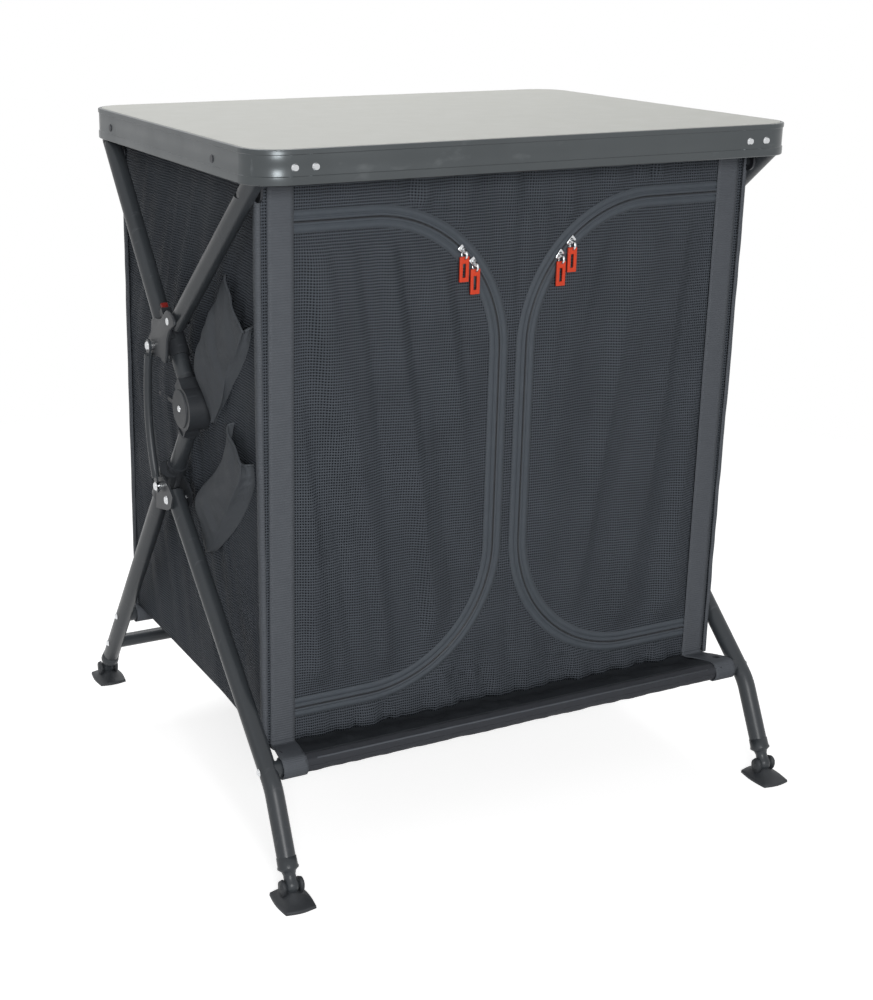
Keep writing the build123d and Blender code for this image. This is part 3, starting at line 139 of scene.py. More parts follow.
def add_node(tree, kind, sockets=None, **settings):
    """Adds a node, sets its options, and gives each socket a value or a link."""
    made = tree.nodes.new("ShaderNode" + kind)
    for name, value in settings.items():
        setattr(made, name, value)
    for name, value in (sockets or {}).items():
        if isinstance(value, bpy.types.NodeSocket):
            tree.links.new(value, made.inputs[name])
        else:
            made.inputs[name].default_value = value
    return made


def calc(tree, operation, *values):
    """One step of arithmetic on sockets or numbers."""
    return add_node(tree, "Math", dict(enumerate(values)), operation=operation).outputs[0]


def blend_colours(tree, share, low, high):
    """A colour between two colours or colour sockets."""
    return add_node(tree, "Mix", {0: share, 6: low, 7: high}, data_type="RGBA").outputs[2]


def new_group(name, inputs, outputs):
    """An empty node group with number sockets, and a vector socket named Place."""
    tree = bpy.data.node_groups.new(name, "ShaderNodeTree")
    tree.interface.new_socket("Place", in_out="INPUT", socket_type="NodeSocketVector")
    for socket in inputs:
        tree.interface.new_socket(socket, in_out="INPUT", socket_type="NodeSocketFloat")
    for socket in outputs:
        tree.interface.new_socket(socket, in_out="OUTPUT", socket_type="NodeSocketFloat")
    start = tree.nodes.new("NodeGroupInput")
    end = tree.nodes.new("NodeGroupOutput")
    return tree, start, end


print("a mid grey on screen is", round(paint(128, 128, 128)[0], 3), "in linear light")

# %% [markdown]
# ## Floor and world
#
# The floor is pale and catches the shadow. What the camera sees of it is lifted to almost
# white near the object and to pure white further off, so it runs into the background
# without a line. The light that it sends back to the object is that of a duller floor.


# %% Make the floor and the world
WHITE = (1, 1, 1, 1)
FLOOR_GLOW = 0.76
NEAR_FLOOR, FAR_FLOOR = 0.5, 1.7


def seen_directly(tree):
    """1 for camera, glossy and transmission rays, 0 for the light on the object."""
    path = add_node(tree, "LightPath").outputs
    seen = calc(tree, "MAXIMUM", path["Is Camera Ray"], path["Is Glossy Ray"])
    return calc(tree, "MAXIMUM", seen, path["Is Transmission Ray"])


def mix_shaders(tree, share, first, second):
    """The first shader where the share is 0, the second where it is 1."""
    return add_node(tree, "MixShader", {0: share, 1: first.outputs[0], 2: second.outputs[0]})


world = bpy.data.worlds.new("studio")
world.use_nodes = True
world_tree = world.node_tree
world_tree.nodes.clear()
plain = add_node(world_tree, "Background", {"Color": WHITE, "Strength": WORLD_LIGHT})
white = add_node(world_tree, "Background", {"Color": WHITE, "Strength": 1.0})
world_mix = mix_shaders(world_tree, seen_directly(world_tree), plain, white)
add_node(world_tree, "OutputWorld", {"Surface": world_mix.outputs[0]})
bpy.context.scene.world = world

floor_finish = bpy.data.materials.new("floor_finish")
floor_finish.use_nodes = True
floor_tree = floor_finish.node_tree
floor_tree.nodes.clear()
matt = add_node(floor_tree, "BsdfDiffuse", {"Color": paint(236, 236, 236)})
bounce = add_node(floor_tree, "BsdfDiffuse", {"Color": paint(150, 150, 150)})
glow = add_node(floor_tree, "Emission", {"Color": WHITE, "Strength": FLOOR_GLOW})
lifted = add_node(floor_tree, "AddShader", {0: matt.outputs[0], 1: glow.outputs[0]})
pure_white = add_node(floor_tree, "Emission", {"Color": WHITE, "Strength": 1.0})
floor_spot = add_node(floor_tree, "TexCoord").outputs["Object"]
distance = add_node(floor_tree, "VectorMath", {0: floor_spot}, operation="LENGTH").outputs["Value"]
reach = {"Value": distance, "From Min": NEAR_FLOOR, "From Max": FAR_FLOOR}
far = add_node(floor_tree, "MapRange", reach).outputs[0]
seen_floor = mix_shaders(floor_tree, far, lifted, pure_white)
floor_mix = mix_shaders(floor_tree, seen_directly(floor_tree), bounce, seen_floor)
add_node(floor_tree, "OutputMaterial", {"Surface": floor_mix.outputs[0]})

FLOOR_HALF = 14.0
floor_mesh = bmesh.new()
bmesh.ops.create_grid(floor_mesh, x_segments=1, y_segments=1, size=FLOOR_HALF)
floor_data = bpy.data.meshes.new("floor")
floor_mesh.to_mesh(floor_data)
floor_mesh.free()
floor_data.materials.append(floor_finish)
floor = bpy.data.objects.new("floor", floor_data)
bpy.context.collection.objects.link(floor)
print("floor reaches", FLOOR_HALF, "m each way")

# %% [markdown]
# ## Shared effects
#
# Four effects return on many pieces: the open weave of the mesh cloth, the ribs of woven
# tape, the fine skin of a coated tube, and the grain of moulded plastic. Each is a node
# group that gives out heights and masks, so one change reaches every material that uses it.


# %% Mesh weave and tape ribs
def ripple_wave(tree, along, pitch):
    """A wave from 0 to 1 with its crests one pitch apart."""
    turns = calc(tree, "DIVIDE", along, pitch)
    angle = calc(tree, "MULTIPLY", turns, 2 * math.pi)
    return calc(tree, "MULTIPLY_ADD", calc(tree, "COSINE", angle), 0.5, 0.5)


def cloudiness(tree, place, scale, detail=3.0):
    """Soft noise from 0 to 1."""
    sockets = {"Vector": place, "Scale": scale, "Detail": detail}
    return add_node(tree, "TexNoise", sockets).outputs["Fac"]


weave, start, end = new_group("mesh_weave", ["Rib Pitch", "Dot Pitch"], ["Height", "Hole", "Tone"])
flat = add_node(weave, "SeparateXYZ", {0: start.outputs["Place"]})
rib = ripple_wave(weave, flat.outputs["Y"], start.outputs["Rib Pitch"])
dot = ripple_wave(weave, flat.outputs["X"], start.outputs["Dot Pitch"])
thread = calc(weave, "MAXIMUM", rib, calc(weave, "MULTIPLY", dot, 0.72))
weave.links.new(thread, end.inputs["Height"])
gap = calc(weave, "MULTIPLY", calc(weave, "SUBTRACT", 1.0, rib), calc(weave, "SUBTRACT", 1.15, dot))
weave.links.new(gap, end.inputs["Hole"])
weave.links.new(cloudiness(weave, start.outputs["Place"], 15.0), end.inputs["Tone"])

tape, start, end = new_group("tape_ribs", ["Rib Pitch"], ["Height", "Tone"])
flat = add_node(tape, "SeparateXYZ", {0: start.outputs["Place"]})
rib = ripple_wave(tape, flat.outputs["Y"], start.outputs["Rib Pitch"])
fuzz = cloudiness(tape, start.outputs["Place"], 900.0)
tape.links.new(calc(tape, "MULTIPLY_ADD", fuzz, 0.5, rib), end.inputs["Height"])
tape.links.new(cloudiness(tape, start.outputs["Place"], 60.0), end.inputs["Tone"])
print("groups:", weave.name, tape.name)


# %% Coated skin and moulded grain
coat, start, end = new_group("coated_skin", ["Peel Scale"], ["Height", "Tone", "Scuff"])
place = start.outputs["Place"]
coat.links.new(cloudiness(coat, place, start.outputs["Peel Scale"], 2.0), end.inputs["Height"])
coat.links.new(cloudiness(coat, place, 14.0), end.inputs["Tone"])
stretched = add_node(coat, "Mapping", {"Vector": place, "Scale": (30.0, 190.0, 60.0)}).outputs[0]
streaks = cloudiness(coat, stretched, 1.0, 5.0)
sharp = add_node(coat, "MapRange", {"Value": streaks, "From Min": 0.63, "From Max": 0.78})
coat.links.new(sharp.outputs[0], end.inputs["Scuff"])

grain, start, end = new_group("moulded_grain", ["Grain Scale"], ["Height", "Tone"])
place = start.outputs["Place"]
cells = add_node(grain, "TexVoronoi", {"Vector": place, "Scale": start.outputs["Grain Scale"]})
grain.links.new(cells.outputs["Distance"], end.inputs["Height"])
grain.links.new(cloudiness(grain, place, 35.0), end.inputs["Tone"])
print("groups:", coat.name, grain.name)

# %% [markdown]
# ## Materials
#
# Every material reads either the object's own coordinates, for hard parts, or the flat
# pattern of the cloth, which its UV map keeps in metres, so the weave follows each fold.


# %% Material helpers
def new_material(name, from_uv=False):
    """A material with an empty graph, its shader, and the place that patterns follow."""
    material = bpy.data.materials.new(name)
    material.use_nodes = True
    tree = material.node_tree
    tree.nodes.clear()
    shader = add_node(tree, "BsdfPrincipled")
    add_node(tree, "OutputMaterial", {"Surface": shader.outputs[0]})
    coordinates = add_node(tree, "TexCoord").outputs["UV" if from_uv else "Object"]
    return material, tree, shader, coordinates


def use_group(tree, group, coordinates, **values):
    """Places a node group and returns its outputs."""
    made = tree.nodes.new("ShaderNodeGroup")
    made.node_tree = group
    tree.links.new(coordinates, made.inputs["Place"])
    for name, value in values.items():
        made.inputs[name.replace("_", " ")].default_value = value
    return made.outputs


def bump(tree, shader, height, depth, strength=1.0):
    """Turns a height into the shader's normal."""
    sockets = {"Height": height, "Distance": depth, "Strength": strength}
    normal = add_node(tree, "Bump", sockets).outputs[0]
    tree.links.new(normal, shader.inputs["Normal"])


def vary(tree, shader, socket, share, low, high):
    """Lets a number of the shader run from low to high with a mask."""
    sockets = {"Value": share, "From Min": 0.3, "From Max": 0.7, "To Min": low, "To Max": high}
    result = add_node(tree, "MapRange", sockets).outputs[0]
    tree.links.new(result, shader.inputs[socket])


def tint(tree, shader, share, low, high):
    """Lets the base colour run between two colours with a mask."""
    tree.links.new(blend_colours(tree, share, low, high), shader.inputs["Base Color"])


# %% Cloth materials
MESH_RIB = 0.00335
MESH_DOT = 0.0028


def mesh_material(name, thread_low, thread_high, painted_hole_shade):
    material, tree, shader, flat = new_material(name, from_uv=True)
    out = use_group(tree, weave, flat, Rib_Pitch=MESH_RIB, Dot_Pitch=MESH_DOT)
    thread = blend_colours(tree, out["Tone"], thread_low, thread_high)
    # the holes are painted near black: painted shade of the dark inside that would show through the open
    # weave
    tint(tree, shader, out["Hole"], thread, painted_hole_shade)
    shader.inputs["Specular IOR Level"].default_value = 0.05
    vary(tree, shader, "Roughness", out["Tone"], 0.50, 0.66)
    bump(tree, shader, out["Height"], 0.0009, 1.0)
    return material


def plain_cloth_material(name, low, high, pitch, roughness):
    material, tree, shader, flat = new_material(name, from_uv=True)
    out = use_group(tree, tape, flat, Rib_Pitch=pitch)
    tint(tree, shader, out["Tone"], low, high)
    shader.inputs["Specular IOR Level"].default_value = 0.10
    vary(tree, shader, "Roughness", out["Tone"], roughness - 0.08, roughness + 0.06)
    bump(tree, shader, out["Height"], pitch * 0.16, 0.7)
    return material


# the last colour is painted shade, for the dark inside of the cupboard seen through the mesh holes
mesh_cloth = mesh_material("mesh_cloth", paint(86, 91, 98), paint(104, 110, 118), paint(9, 10, 12))
pocket_cloth = plain_cloth_material("pocket_cloth", paint(86, 90, 95), paint(98, 102, 107), 0.0007, 0.62)
webbing = plain_cloth_material("webbing", paint(94, 98, 104), paint(106, 110, 116), 0.0030, 0.6)
# the apron cloth is a closer, darker weave of its own, and its colour also holds painted shade for the
# shade it lies in
apron_cloth = plain_cloth_material("apron_cloth", paint(46, 49, 53), paint(58, 61, 65), 0.0011, 0.7)
sleeve_cloth = plain_cloth_material("sleeve_cloth", paint(66, 68, 73), paint(76, 78, 83), 0.0009, 0.6)
zip_tape = plain_cloth_material("zip_tape", paint(84, 90, 97), paint(96, 102, 109), 0.0013, 0.55)
stitching = plain_cloth_material("stitching", paint(100, 103, 108), paint(114, 117, 122), 0.0004, 0.6)
print("the mesh has", round(0.1 / MESH_RIB), "ribs on 10 cm")


# %% Hard materials
PEEL_SCALE = 420.0
RAIL_BANDS = 0.020


def coated_material(name, low, high, worn, roughness, metallic=0.0, bands=None):
    """A coated or plain metal. Bands are the soft hollows along a rail, one pitch apart."""
    material, tree, shader, place = new_material(name)
    out = use_group(tree, coat, place, Peel_Scale=PEEL_SCALE)
    skin = blend_colours(tree, out["Tone"], low, high)
    tint(tree, shader, out["Scuff"], skin, worn)
    vary(tree, shader, "Roughness", out["Tone"], roughness - 0.05, roughness + 0.07)
    shader.inputs["Metallic"].default_value = metallic
    if bands is None:
        shader.inputs["Specular IOR Level"].default_value = 0.34
        bump(tree, shader, out["Height"], 0.0002, 0.35)
    else:
        upward = add_node(tree, "SeparateXYZ", {0: place}).outputs["Z"]
        wave = ripple_wave(tree, upward, bands)
        bump(tree, shader, calc(tree, "MULTIPLY_ADD", out["Height"], 0.02, wave), 0.0007, 1.0)
    return material


def moulded_material(name, low, high, roughness, grain_scale, depth):
    material, tree, shader, place = new_material(name)
    out = use_group(tree, grain, place, Grain_Scale=grain_scale)
    tint(tree, shader, out["Tone"], low, high)
    vary(tree, shader, "Roughness", out["Tone"], roughness - 0.06, roughness + 0.08)
    bump(tree, shader, out["Height"], depth, 0.5)
    return material


tube_shades = paint(58, 62, 66), paint(68, 72, 76), paint(82, 85, 89)
tube_coat = coated_material("tube_coat", *tube_shades, 0.33)
bracket_shades = paint(52, 55, 59), paint(62, 65, 69), paint(78, 81, 85)
bracket_coat = coated_material("bracket_coat", *bracket_shades, 0.44)
rail_shades = paint(80, 84, 86), paint(90, 94, 96), paint(98, 102, 104)
rail_metal = coated_material("rail_metal", *rail_shades, 0.34, 0.9, bands=RAIL_BANDS)
steel_shades = paint(196, 198, 200), paint(214, 216, 218), paint(232, 232, 232)
bright_steel = coated_material("bright_steel", *steel_shades, 0.22, 1.0)
dark_shades = paint(52, 54, 58), paint(62, 64, 68), paint(110, 112, 114)
dark_steel = coated_material("dark_steel", *dark_shades, 0.38, 0.6)
rubber = moulded_material("rubber", paint(42, 45, 49), paint(54, 57, 61), 0.6, 900.0, 0.0002)
red_plastic = moulded_material("red_plastic", paint(228, 62, 30), paint(240, 80, 42), 0.45, 700.0, 0.0001)
shelf_board = moulded_material("shelf_board", paint(50, 52, 56), paint(58, 60, 64), 0.65, 500.0, 0.0002)
zip_coil = moulded_material("zip_coil", paint(44, 46, 50), paint(58, 60, 65), 0.38, 900.0, 0.0001)
laminate = moulded_material("laminate", paint(196, 197, 191), paint(202, 203, 197), 0.5, 380.0, 0.00006)
button_red = moulded_material("button_red", paint(140, 34, 30), paint(156, 44, 38), 0.45, 700.0, 0.0001)
print("materials so far:", len(bpy.data.materials))

# %% [markdown]
# ## Finish the CAD pieces
#
# The tubes, brackets, pins and boards keep the shape that the CAD gave them. The record
# names a finish for each node, and here each finish gets its material.

# %% Give each CAD node its finish
FINISHES = {
    "laminate": laminate,
    "rail": rail_metal,
    "tube": tube_coat,
    "bracket": bracket_coat,
    "steel": bright_steel,
    "dark_steel": dark_steel,
    "cloth": mesh_cloth,
    "webbing": webbing,
    "board": shelf_board,
    "red_plastic": red_plastic,
    "rubber": rubber,
}
OWN_FINISH = {"hinge_pins": tube_coat, "latch_button_left": button_red, "latch_button_right": button_red}
longest_first = sorted(FINISHES, key=len, reverse=True)
for name, piece in frame["nodes"].items():
    for entry in piece.material_slots:
        current = entry.material.name if entry.material else ""
        finish = next((FINISHES[key] for key in longest_first if key in current), tube_coat)
        entry.material = OWN_FINISH.get(name, finish)
print("finished", len(frame["nodes"]), "CAD nodes")

# %% [markdown]
# ## A cloth grid
#
# Every sheet starts as a plain grid. A grid knows how far each corner is across and up the
# cloth, so one function can say where that point of the cloth hangs, and a second where it
# lay on the cutting table. The second becomes the UV map that carries the weave.

# %% Sizes of the body
MM = 0.001
FRONT_Y = -208.0 * MM
CLOTH = 1.2 * MM
PANEL_HALF = 318.0 * MM
CLOTH_SAG = 9.0 * MM
CLOTH_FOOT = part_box("front_panel")[0][2] - CLOTH_SAG
CLOTH_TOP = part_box("front_panel")[1][2]
WALL_HEIGHT = CLOTH_TOP - CLOTH_FOOT
HINGE_X = 283.0 * MM
INNER_X = 18.0 * MM
ARC = 167.0 * MM
DOOR_TOP = 746.0 * MM
DOOR_FOOT = 176.0 * MM
SIDES = (("left", -1), ("right", 1))
print("cloth hangs from", round(CLOTH_TOP, 4), "to", round(CLOTH_FOOT, 4))


# %% Helpers for pieces
def smooth_step(low, high, value):
    """0 below low, 1 above high, and a soft ramp between."""
    share = min(1.0, max(0.0, (value - low) / (high - low)))
    return share * share * (3 - 2 * share)


def fold(x, z, width, height, seed):
    """A pattern of folds from about -1 to 1: width across one fold, height along it."""
    return noise.noise(Vector((x / width, z / height, seed)))


def make_piece(name, mesh, material, body):
    """Turns a bmesh into a smooth-shaded object that rides on a body."""
    data = bpy.data.meshes.new(name)
    mesh.to_mesh(data)
    mesh.free()
    data.shade_smooth()
    data.materials.append(material)
    piece = bpy.data.objects.new(name, data)
    bpy.context.collection.objects.link(piece)
    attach(piece, body)
    return piece


def patterned_grid(columns, rows, place, flat):
    """A grid that hangs where place says and keeps its flat places as a UV map."""
    mesh = bmesh.new()
    bmesh.ops.create_grid(mesh, x_segments=columns, y_segments=rows, size=0.5)
    reach = max(vertex.co.x for vertex in mesh.verts)
    shares = {v: (0.5 + v.co.x / reach / 2, 0.5 + v.co.y / reach / 2) for v in mesh.verts}
    pattern = mesh.loops.layers.uv.new("flat")
    for face in mesh.faces:
        for loop in face.loops:
            loop[pattern].uv = flat(*shares[loop.vert])
    for vertex, share in shares.items():
        vertex.co = place(*share)
    return mesh


def plain_cut(width, height):
    """The flat places of a plain rectangle of cloth."""
    return lambda across, upward: (across * width, upward * height)


def thicken(piece, thickness):
    """Gives cloth its thickness, behind the side that shows."""
    wall = piece.modifiers.new("cloth thickness", "SOLIDIFY")
    wall.thickness = thickness
    wall.offset = -1


def make_sheet(name, columns, rows, place, flat, outward, finish, body, slot="cloth", thickness=CLOTH):
    """A sheet from a grid: place and flat take the shares across and up the cloth."""
    mesh = patterned_grid(columns, rows, place, flat)
    gone = [face for face in mesh.faces if face.calc_area() < 1e-9]
    bmesh.ops.delete(mesh, geom=gone, context="FACES")
    mesh.normal_update()
    facing = sum((face.normal * face.calc_area() for face in mesh.faces), Vector())
    if facing.dot(Vector(outward)) < 0:
        bmesh.ops.reverse_faces(mesh, faces=mesh.faces)
    piece = make_piece(name, mesh, finish, body)
    thicken(piece, thickness)
    return piece


def make_cord(name, places, radius, resolution, finish, body, waist=1.0):
    """A round cord through places, drawn in to its waist at every other one."""
    line = bpy.data.curves.new(name, "CURVE")
    line.dimensions = "3D"
    line.bevel_depth = radius
    line.bevel_resolution = resolution
    spline = line.splines.new("POLY")
    spline.points.add(len(places) - 1)
    for index, place in enumerate(places):
        spline.points[index].co = (*place, 1)
        spline.points[index].radius = 1.0 if index % 2 else waist
    rough = bpy.data.objects.new(name + "_line", line)
    data = bpy.data.meshes.new_from_object(rough)
    bpy.data.objects.remove(rough)
    mesh = bmesh.new()
    mesh.from_mesh(data)
    return make_piece(name, mesh, finish, body)


def crumple(piece):
    """Gives a piece its own copy of its mesh."""
    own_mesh(piece)


# %% Helpers for hard shapes
def turned_to(direction):
    """A turn that brings Z onto a direction."""
    return direction.to_track_quat("Z", "Y").to_matrix().to_4x4()


def round_edges(mesh, edges, radius, segments=3):
    """Bevels edges to a radius."""
    settings = {"affect": "EDGES", "segments": segments, "profile": 0.5, "material": -1}
    bmesh.ops.bevel(mesh, geom=edges, offset=radius, clamp_overlap=True, **settings)


def spin_round(mesh, outline, axis, steps):
    """Spins an outline once round an axis through the origin."""
    settings = {"cent": (0, 0, 0), "axis": axis, "angle": 2 * math.pi, "steps": steps}
    bmesh.ops.spin(mesh, geom=outline, use_merge=True, **settings)


def add_rod(mesh, centre, radii, length, segments, sign=1):
    """A rod along X with a radius for each end. Returns its corners."""
    shape = {"radius1": radii[0], "radius2": radii[1], "depth": length}
    rod = bmesh.ops.create_cone(mesh, cap_ends=True, segments=segments, **shape)["verts"]
    bmesh.ops.rotate(mesh, matrix=Matrix.Rotation(sign * math.pi / 2, 3, "Y"), verts=rod)
    bmesh.ops.translate(mesh, vec=centre, verts=rod)
    return rod


def add_ring(mesh, centre, radius, wire, across):
    """A ring of wire: a circle spun round an axis that lies along X."""
    solid = set(mesh.verts)
    made = bmesh.ops.create_circle(mesh, segments=8, radius=wire)["verts"]
    for vertex in made:
        vertex.co = Vector((vertex.co.x * across, 0, vertex.co.y + radius))
    edges = list({edge for vertex in made for edge in vertex.link_edges})
    spin_round(mesh, made + edges, (1, 0, 0), 20)
    for vertex in set(mesh.verts) - solid:
        vertex.co += centre


def corners_of(node):
    """The low and high corners of a CAD node's box."""
    return [Vector(corner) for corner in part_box(node)]


print("the upper sliders reach up to z", round(corners_of("upper_zip_slider_left")[1].z * 1000), "mm")

# %% [markdown]
# ## The line of the zips
#
# Each door is a D: straight along its hinge, and round at its two inner corners. One
# function walks the zip's line, another tells how far a point lies inside it. The cloth,
# the tapes and the teeth all ask these two, so they meet exactly.


# %% The zip's line
def inner_edge(z):
    """How far in from the door's middle line, as |x|, the zip is at a height."""
    low, high = DOOR_FOOT + ARC, DOOR_TOP - ARC
    rise = max(low - z, z - high, 0.0)
    return INNER_X + ARC - math.sqrt(max(ARC * ARC - rise * rise, 0.0))


def zip_line(step):
    """Points of the left door's zip, top hinge end first: place, outward direction, length."""
    straight = HINGE_X - INNER_X - ARC
    upright_run = DOOR_TOP - DOOR_FOOT - 2 * ARC
    quarter = ARC * math.pi / 2
    total = 2 * straight + 2 * quarter + upright_run
    count = round(total / step)
    corner_x = -INNER_X - ARC
    points = []
    for index in range(count + 1):
        run = total * index / count
        if run < straight:
            place, out = (-HINGE_X + run, DOOR_TOP), (0, 1)
        elif run < straight + quarter:
            angle = (run - straight) / ARC
            out = (math.sin(angle), math.cos(angle))
            place = (corner_x + ARC * out[0], DOOR_TOP - ARC + ARC * out[1])
        elif run < straight + quarter + upright_run:
            place, out = (-INNER_X, DOOR_TOP - ARC - (run - straight - quarter)), (1, 0)
        elif run < total - straight:
            angle = (run - straight - quarter - upright_run) / ARC
            out = (math.cos(angle), -math.sin(angle))
            place = (corner_x + ARC * out[0], DOOR_FOOT + ARC + ARC * out[1])
        else:
            place, out = (corner_x - (run - (total - straight)), DOOR_FOOT), (0, -1)
        points.append((place, out, run))
    return points


def inside_zip(x, z):
    """How far a point lies inside its door's zip; negative outside."""
    side = abs(x)
    corner_x, top_z, foot_z = INNER_X + ARC, DOOR_TOP - ARC, DOOR_FOOT + ARC
    if side < corner_x and z > top_z:
        return ARC - math.hypot(corner_x - side, z - top_z)
    if side < corner_x and z < foot_z:
        return ARC - math.hypot(corner_x - side, foot_z - z)
    return min(DOOR_TOP - z, z - DOOR_FOOT, side - INNER_X)


TAPE_STEP = 5.0 * MM
tape_points = zip_line(TAPE_STEP)
print("one zip is", round(tape_points[-1][2] * 1000), "mm long in", len(tape_points), "steps")

# %% [markdown]
# ## How the front cloth hangs
#
# Mesh cloth is stiff, so it hangs in long shallow folds that run down from the worktop,
# lean a little, and die out where a tape holds it flat. Along the seams the thread pulls it
# into short puckers. Noise stretched along one direction gives both.


# %% Folds of the front cloth
# depths of the front cloth's folds: on a door, and at the seams round it
DOOR_BELLY, WIDE_FOLD, NARROW_FOLD = 3.4 * MM, 12.0 * MM, 4.2 * MM
SEAM_PUCKER, TOP_PUCKER, FOOT_PUCKER = 0.8 * MM, 5.6 * MM, 7.4 * MM
FRAME_FOLD, TOP_FOLD = 3.8 * MM, 3.6 * MM
PRESSED_IN, PRESSED_OUT = -1.2 * MM, 1.2 * MM


def front_swell(x, z):
    """How far the front cloth stands out from its plane."""
    side = abs(x)
    held = 1 - smooth_step(HINGE_X - 0.03, HINGE_X, side)
    inside = inside_zip(x, z)
    free = smooth_step(0.012, 0.05, inside) * held
    lean = x + 0.13 * (z - 0.45) * (1 if x < 0 else -1)
    wide = fold(lean, z, 0.036, 0.40, 3.1 if x < 0 else 9.4)
    narrow = fold(lean, z, 0.015, 0.24, 5.7)
    door = free * (DOOR_BELLY + WIDE_FOLD * wide + NARROW_FOLD * narrow)
    outside = smooth_step(0.012, 0.026, -inside) * held
    near_top = smooth_step(0.64, 0.80, z)
    near_foot = 1 - smooth_step(0.14, 0.22, z)
    depth = SEAM_PUCKER + TOP_PUCKER * near_top + FOOT_PUCKER * near_foot
    pucker = fold(x + 0.3 * z, z, 0.0125, 0.18, 1.3) * depth
    between = fold(x, z, 0.016, 0.34, 7.9) * (FRAME_FOLD + TOP_FOLD * near_top)
    return max(door, PRESSED_IN) + outside * (PRESSED_OUT + pucker + between)


def front_place(x, z, lift=0.0):
    """A point of the front cloth, lifted off it by a little where a tape lies on it."""
    return Vector((x, FRONT_Y - front_swell(x, z) - lift, z))


def spread(stops, share):
    """The place at a share along a list of stops, each stop one step from the next."""
    step = share * (len(stops) - 1)
    low = min(int(step + 1e-9), len(stops) - 2)
    return stops[low] + (stops[low + 1] - stops[low]) * (step - low)


def through(points, share):
    """A place on a smooth line through a few points."""
    step = share * (len(points) - 1)
    low = min(int(step + 1e-9), len(points) - 2)
    before, start, end, after = [points[min(max(low + k, 0), len(points) - 1)] for k in (-1, 0, 1, 2)]
    t = step - low
    bend = (2 * before - 5 * start + 4 * end - after) * t * t
    bend += (3 * start - before - 3 * end + after) * t**3
    return start + ((end - before) * t + bend) / 2


def tube_axis(node):
    """The (y, z) of a tube that runs along X, from its box."""
    low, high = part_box(node)
    return ((low[1] + high[1]) / 2, (low[2] + high[2]) / 2)


def corner_lean(z):
    """How far the wall's front corner stands out sideways: most near the top."""
    return 4.0 * MM * smooth_step(0.15, 0.70, z)


ARC_STEPS, UPRIGHT_STEPS = 28, 26
arc_turns = [math.radians(90 * i / ARC_STEPS) for i in range(ARC_STEPS + 1)]
door_heights = [DOOR_FOOT + ARC - ARC * math.cos(turn) for turn in arc_turns]
for i in range(1, UPRIGHT_STEPS):
    door_heights.append(DOOR_FOOT + ARC + (DOOR_TOP - DOOR_FOOT - 2 * ARC) * i / UPRIGHT_STEPS)
door_heights += [DOOR_TOP - ARC + ARC * math.sin(turn) for turn in arc_turns]
print("rows in a door:", len(door_heights))

# %% [markdown]
# ## Front panel
#
# The panel is one cloth with two D openings. Its grid has columns that follow the zips: the
# middle columns crowd together between the doors and fan out above and below them. The
# faces in the doors' place are deleted, and what is left already ends at the zips.

# %% Front panel
FOOT_ROWS, TOP_ROWS = 4, 14
SIDE_COLUMNS, HINGE_COLUMNS, MIDDLE_COLUMNS = 5, 12, 48
panel_heights = [CLOTH_FOOT + (DOOR_FOOT - CLOTH_FOOT) * i / FOOT_ROWS for i in range(FOOT_ROWS)]
panel_heights += door_heights
panel_heights += [DOOR_TOP + (CLOTH_TOP - DOOR_TOP) * i / TOP_ROWS for i in range(1, TOP_ROWS + 1)]
column_groups = [SIDE_COLUMNS, HINGE_COLUMNS, MIDDLE_COLUMNS, HINGE_COLUMNS, SIDE_COLUMNS]
PANEL_COLUMNS = sum(column_groups)


def panel_x(share, z):
    """The place of a column at a height: its stops follow the two zips."""
    edge = inner_edge(z) if DOOR_FOOT <= z <= DOOR_TOP else INNER_X + ARC
    stops = [-PANEL_HALF, -HINGE_X, -edge, edge, HINGE_X, PANEL_HALF]
    stops[0] -= corner_lean(z)
    stops[-1] += corner_lean(z)
    step = share * PANEL_COLUMNS
    for index, count in enumerate(column_groups):
        if step <= count + 1e-6:
            return stops[index] + (stops[index + 1] - stops[index]) * max(step, 0.0) / count
        step -= count
    return stops[-1]


def panel_place(across, upward):
    z = spread(panel_heights, upward)
    return front_place(panel_x(across, z), z)


def panel_flat(across, upward):
    z = spread(panel_heights, upward)
    return (panel_x(across, z), z)


panel_grid = (PANEL_COLUMNS, len(panel_heights) - 1, panel_place, panel_flat)
front_panel = make_sheet("front_panel_cloth", *panel_grid, (0, -1, 0), mesh_cloth, "worktop")
cut = bmesh.new()
cut.from_mesh(front_panel.data)
in_doors = []
for face in cut.faces:
    middle = face.calc_center_median()
    over_opening = inner_edge(middle.z) < abs(middle.x) < HINGE_X
    if over_opening and DOOR_FOOT < middle.z < DOOR_TOP:
        in_doors.append(face)
bmesh.ops.delete(cut, geom=in_doors, context="FACES")
cut.to_mesh(front_panel.data)
cut.free()
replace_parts(front_panel, "front_panel")
crumple(front_panel)
print("front panel faces:", len(front_panel.data.polygons))

# %% [markdown]
# ## Doors
#
# A door is a grid whose rows end at the zip. It belongs to its own body, so it can swing,
# and it has the same folds as the panel, so the two meet at the zip without a step.

# %% Doors
DOOR_GAP = 0.6 * MM
DOOR_COLUMNS = 56


def make_door(side, sign):
    """One door, from its hinge to its zip."""

    def door_x(across, z):
        return sign * (HINGE_X + (inner_edge(z) + DOOR_GAP - HINGE_X) * across)

    def door_place(across, upward):
        z = spread(door_heights, upward)
        return front_place(door_x(across, z), z)

    def door_flat(across, upward):
        z = spread(door_heights, upward)
        return (door_x(across, z), z)

    node = f"door_{side}"
    grid = (DOOR_COLUMNS, len(door_heights) - 1, door_place, door_flat)
    cloth = make_sheet(node + "_cloth", *grid, (0, -1, 0), mesh_cloth, node)
    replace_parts(cloth, node)
    crumple(cloth)


for side, sign in SIDES:
    make_door(side, sign)
print("a door has", DOOR_COLUMNS, "columns")

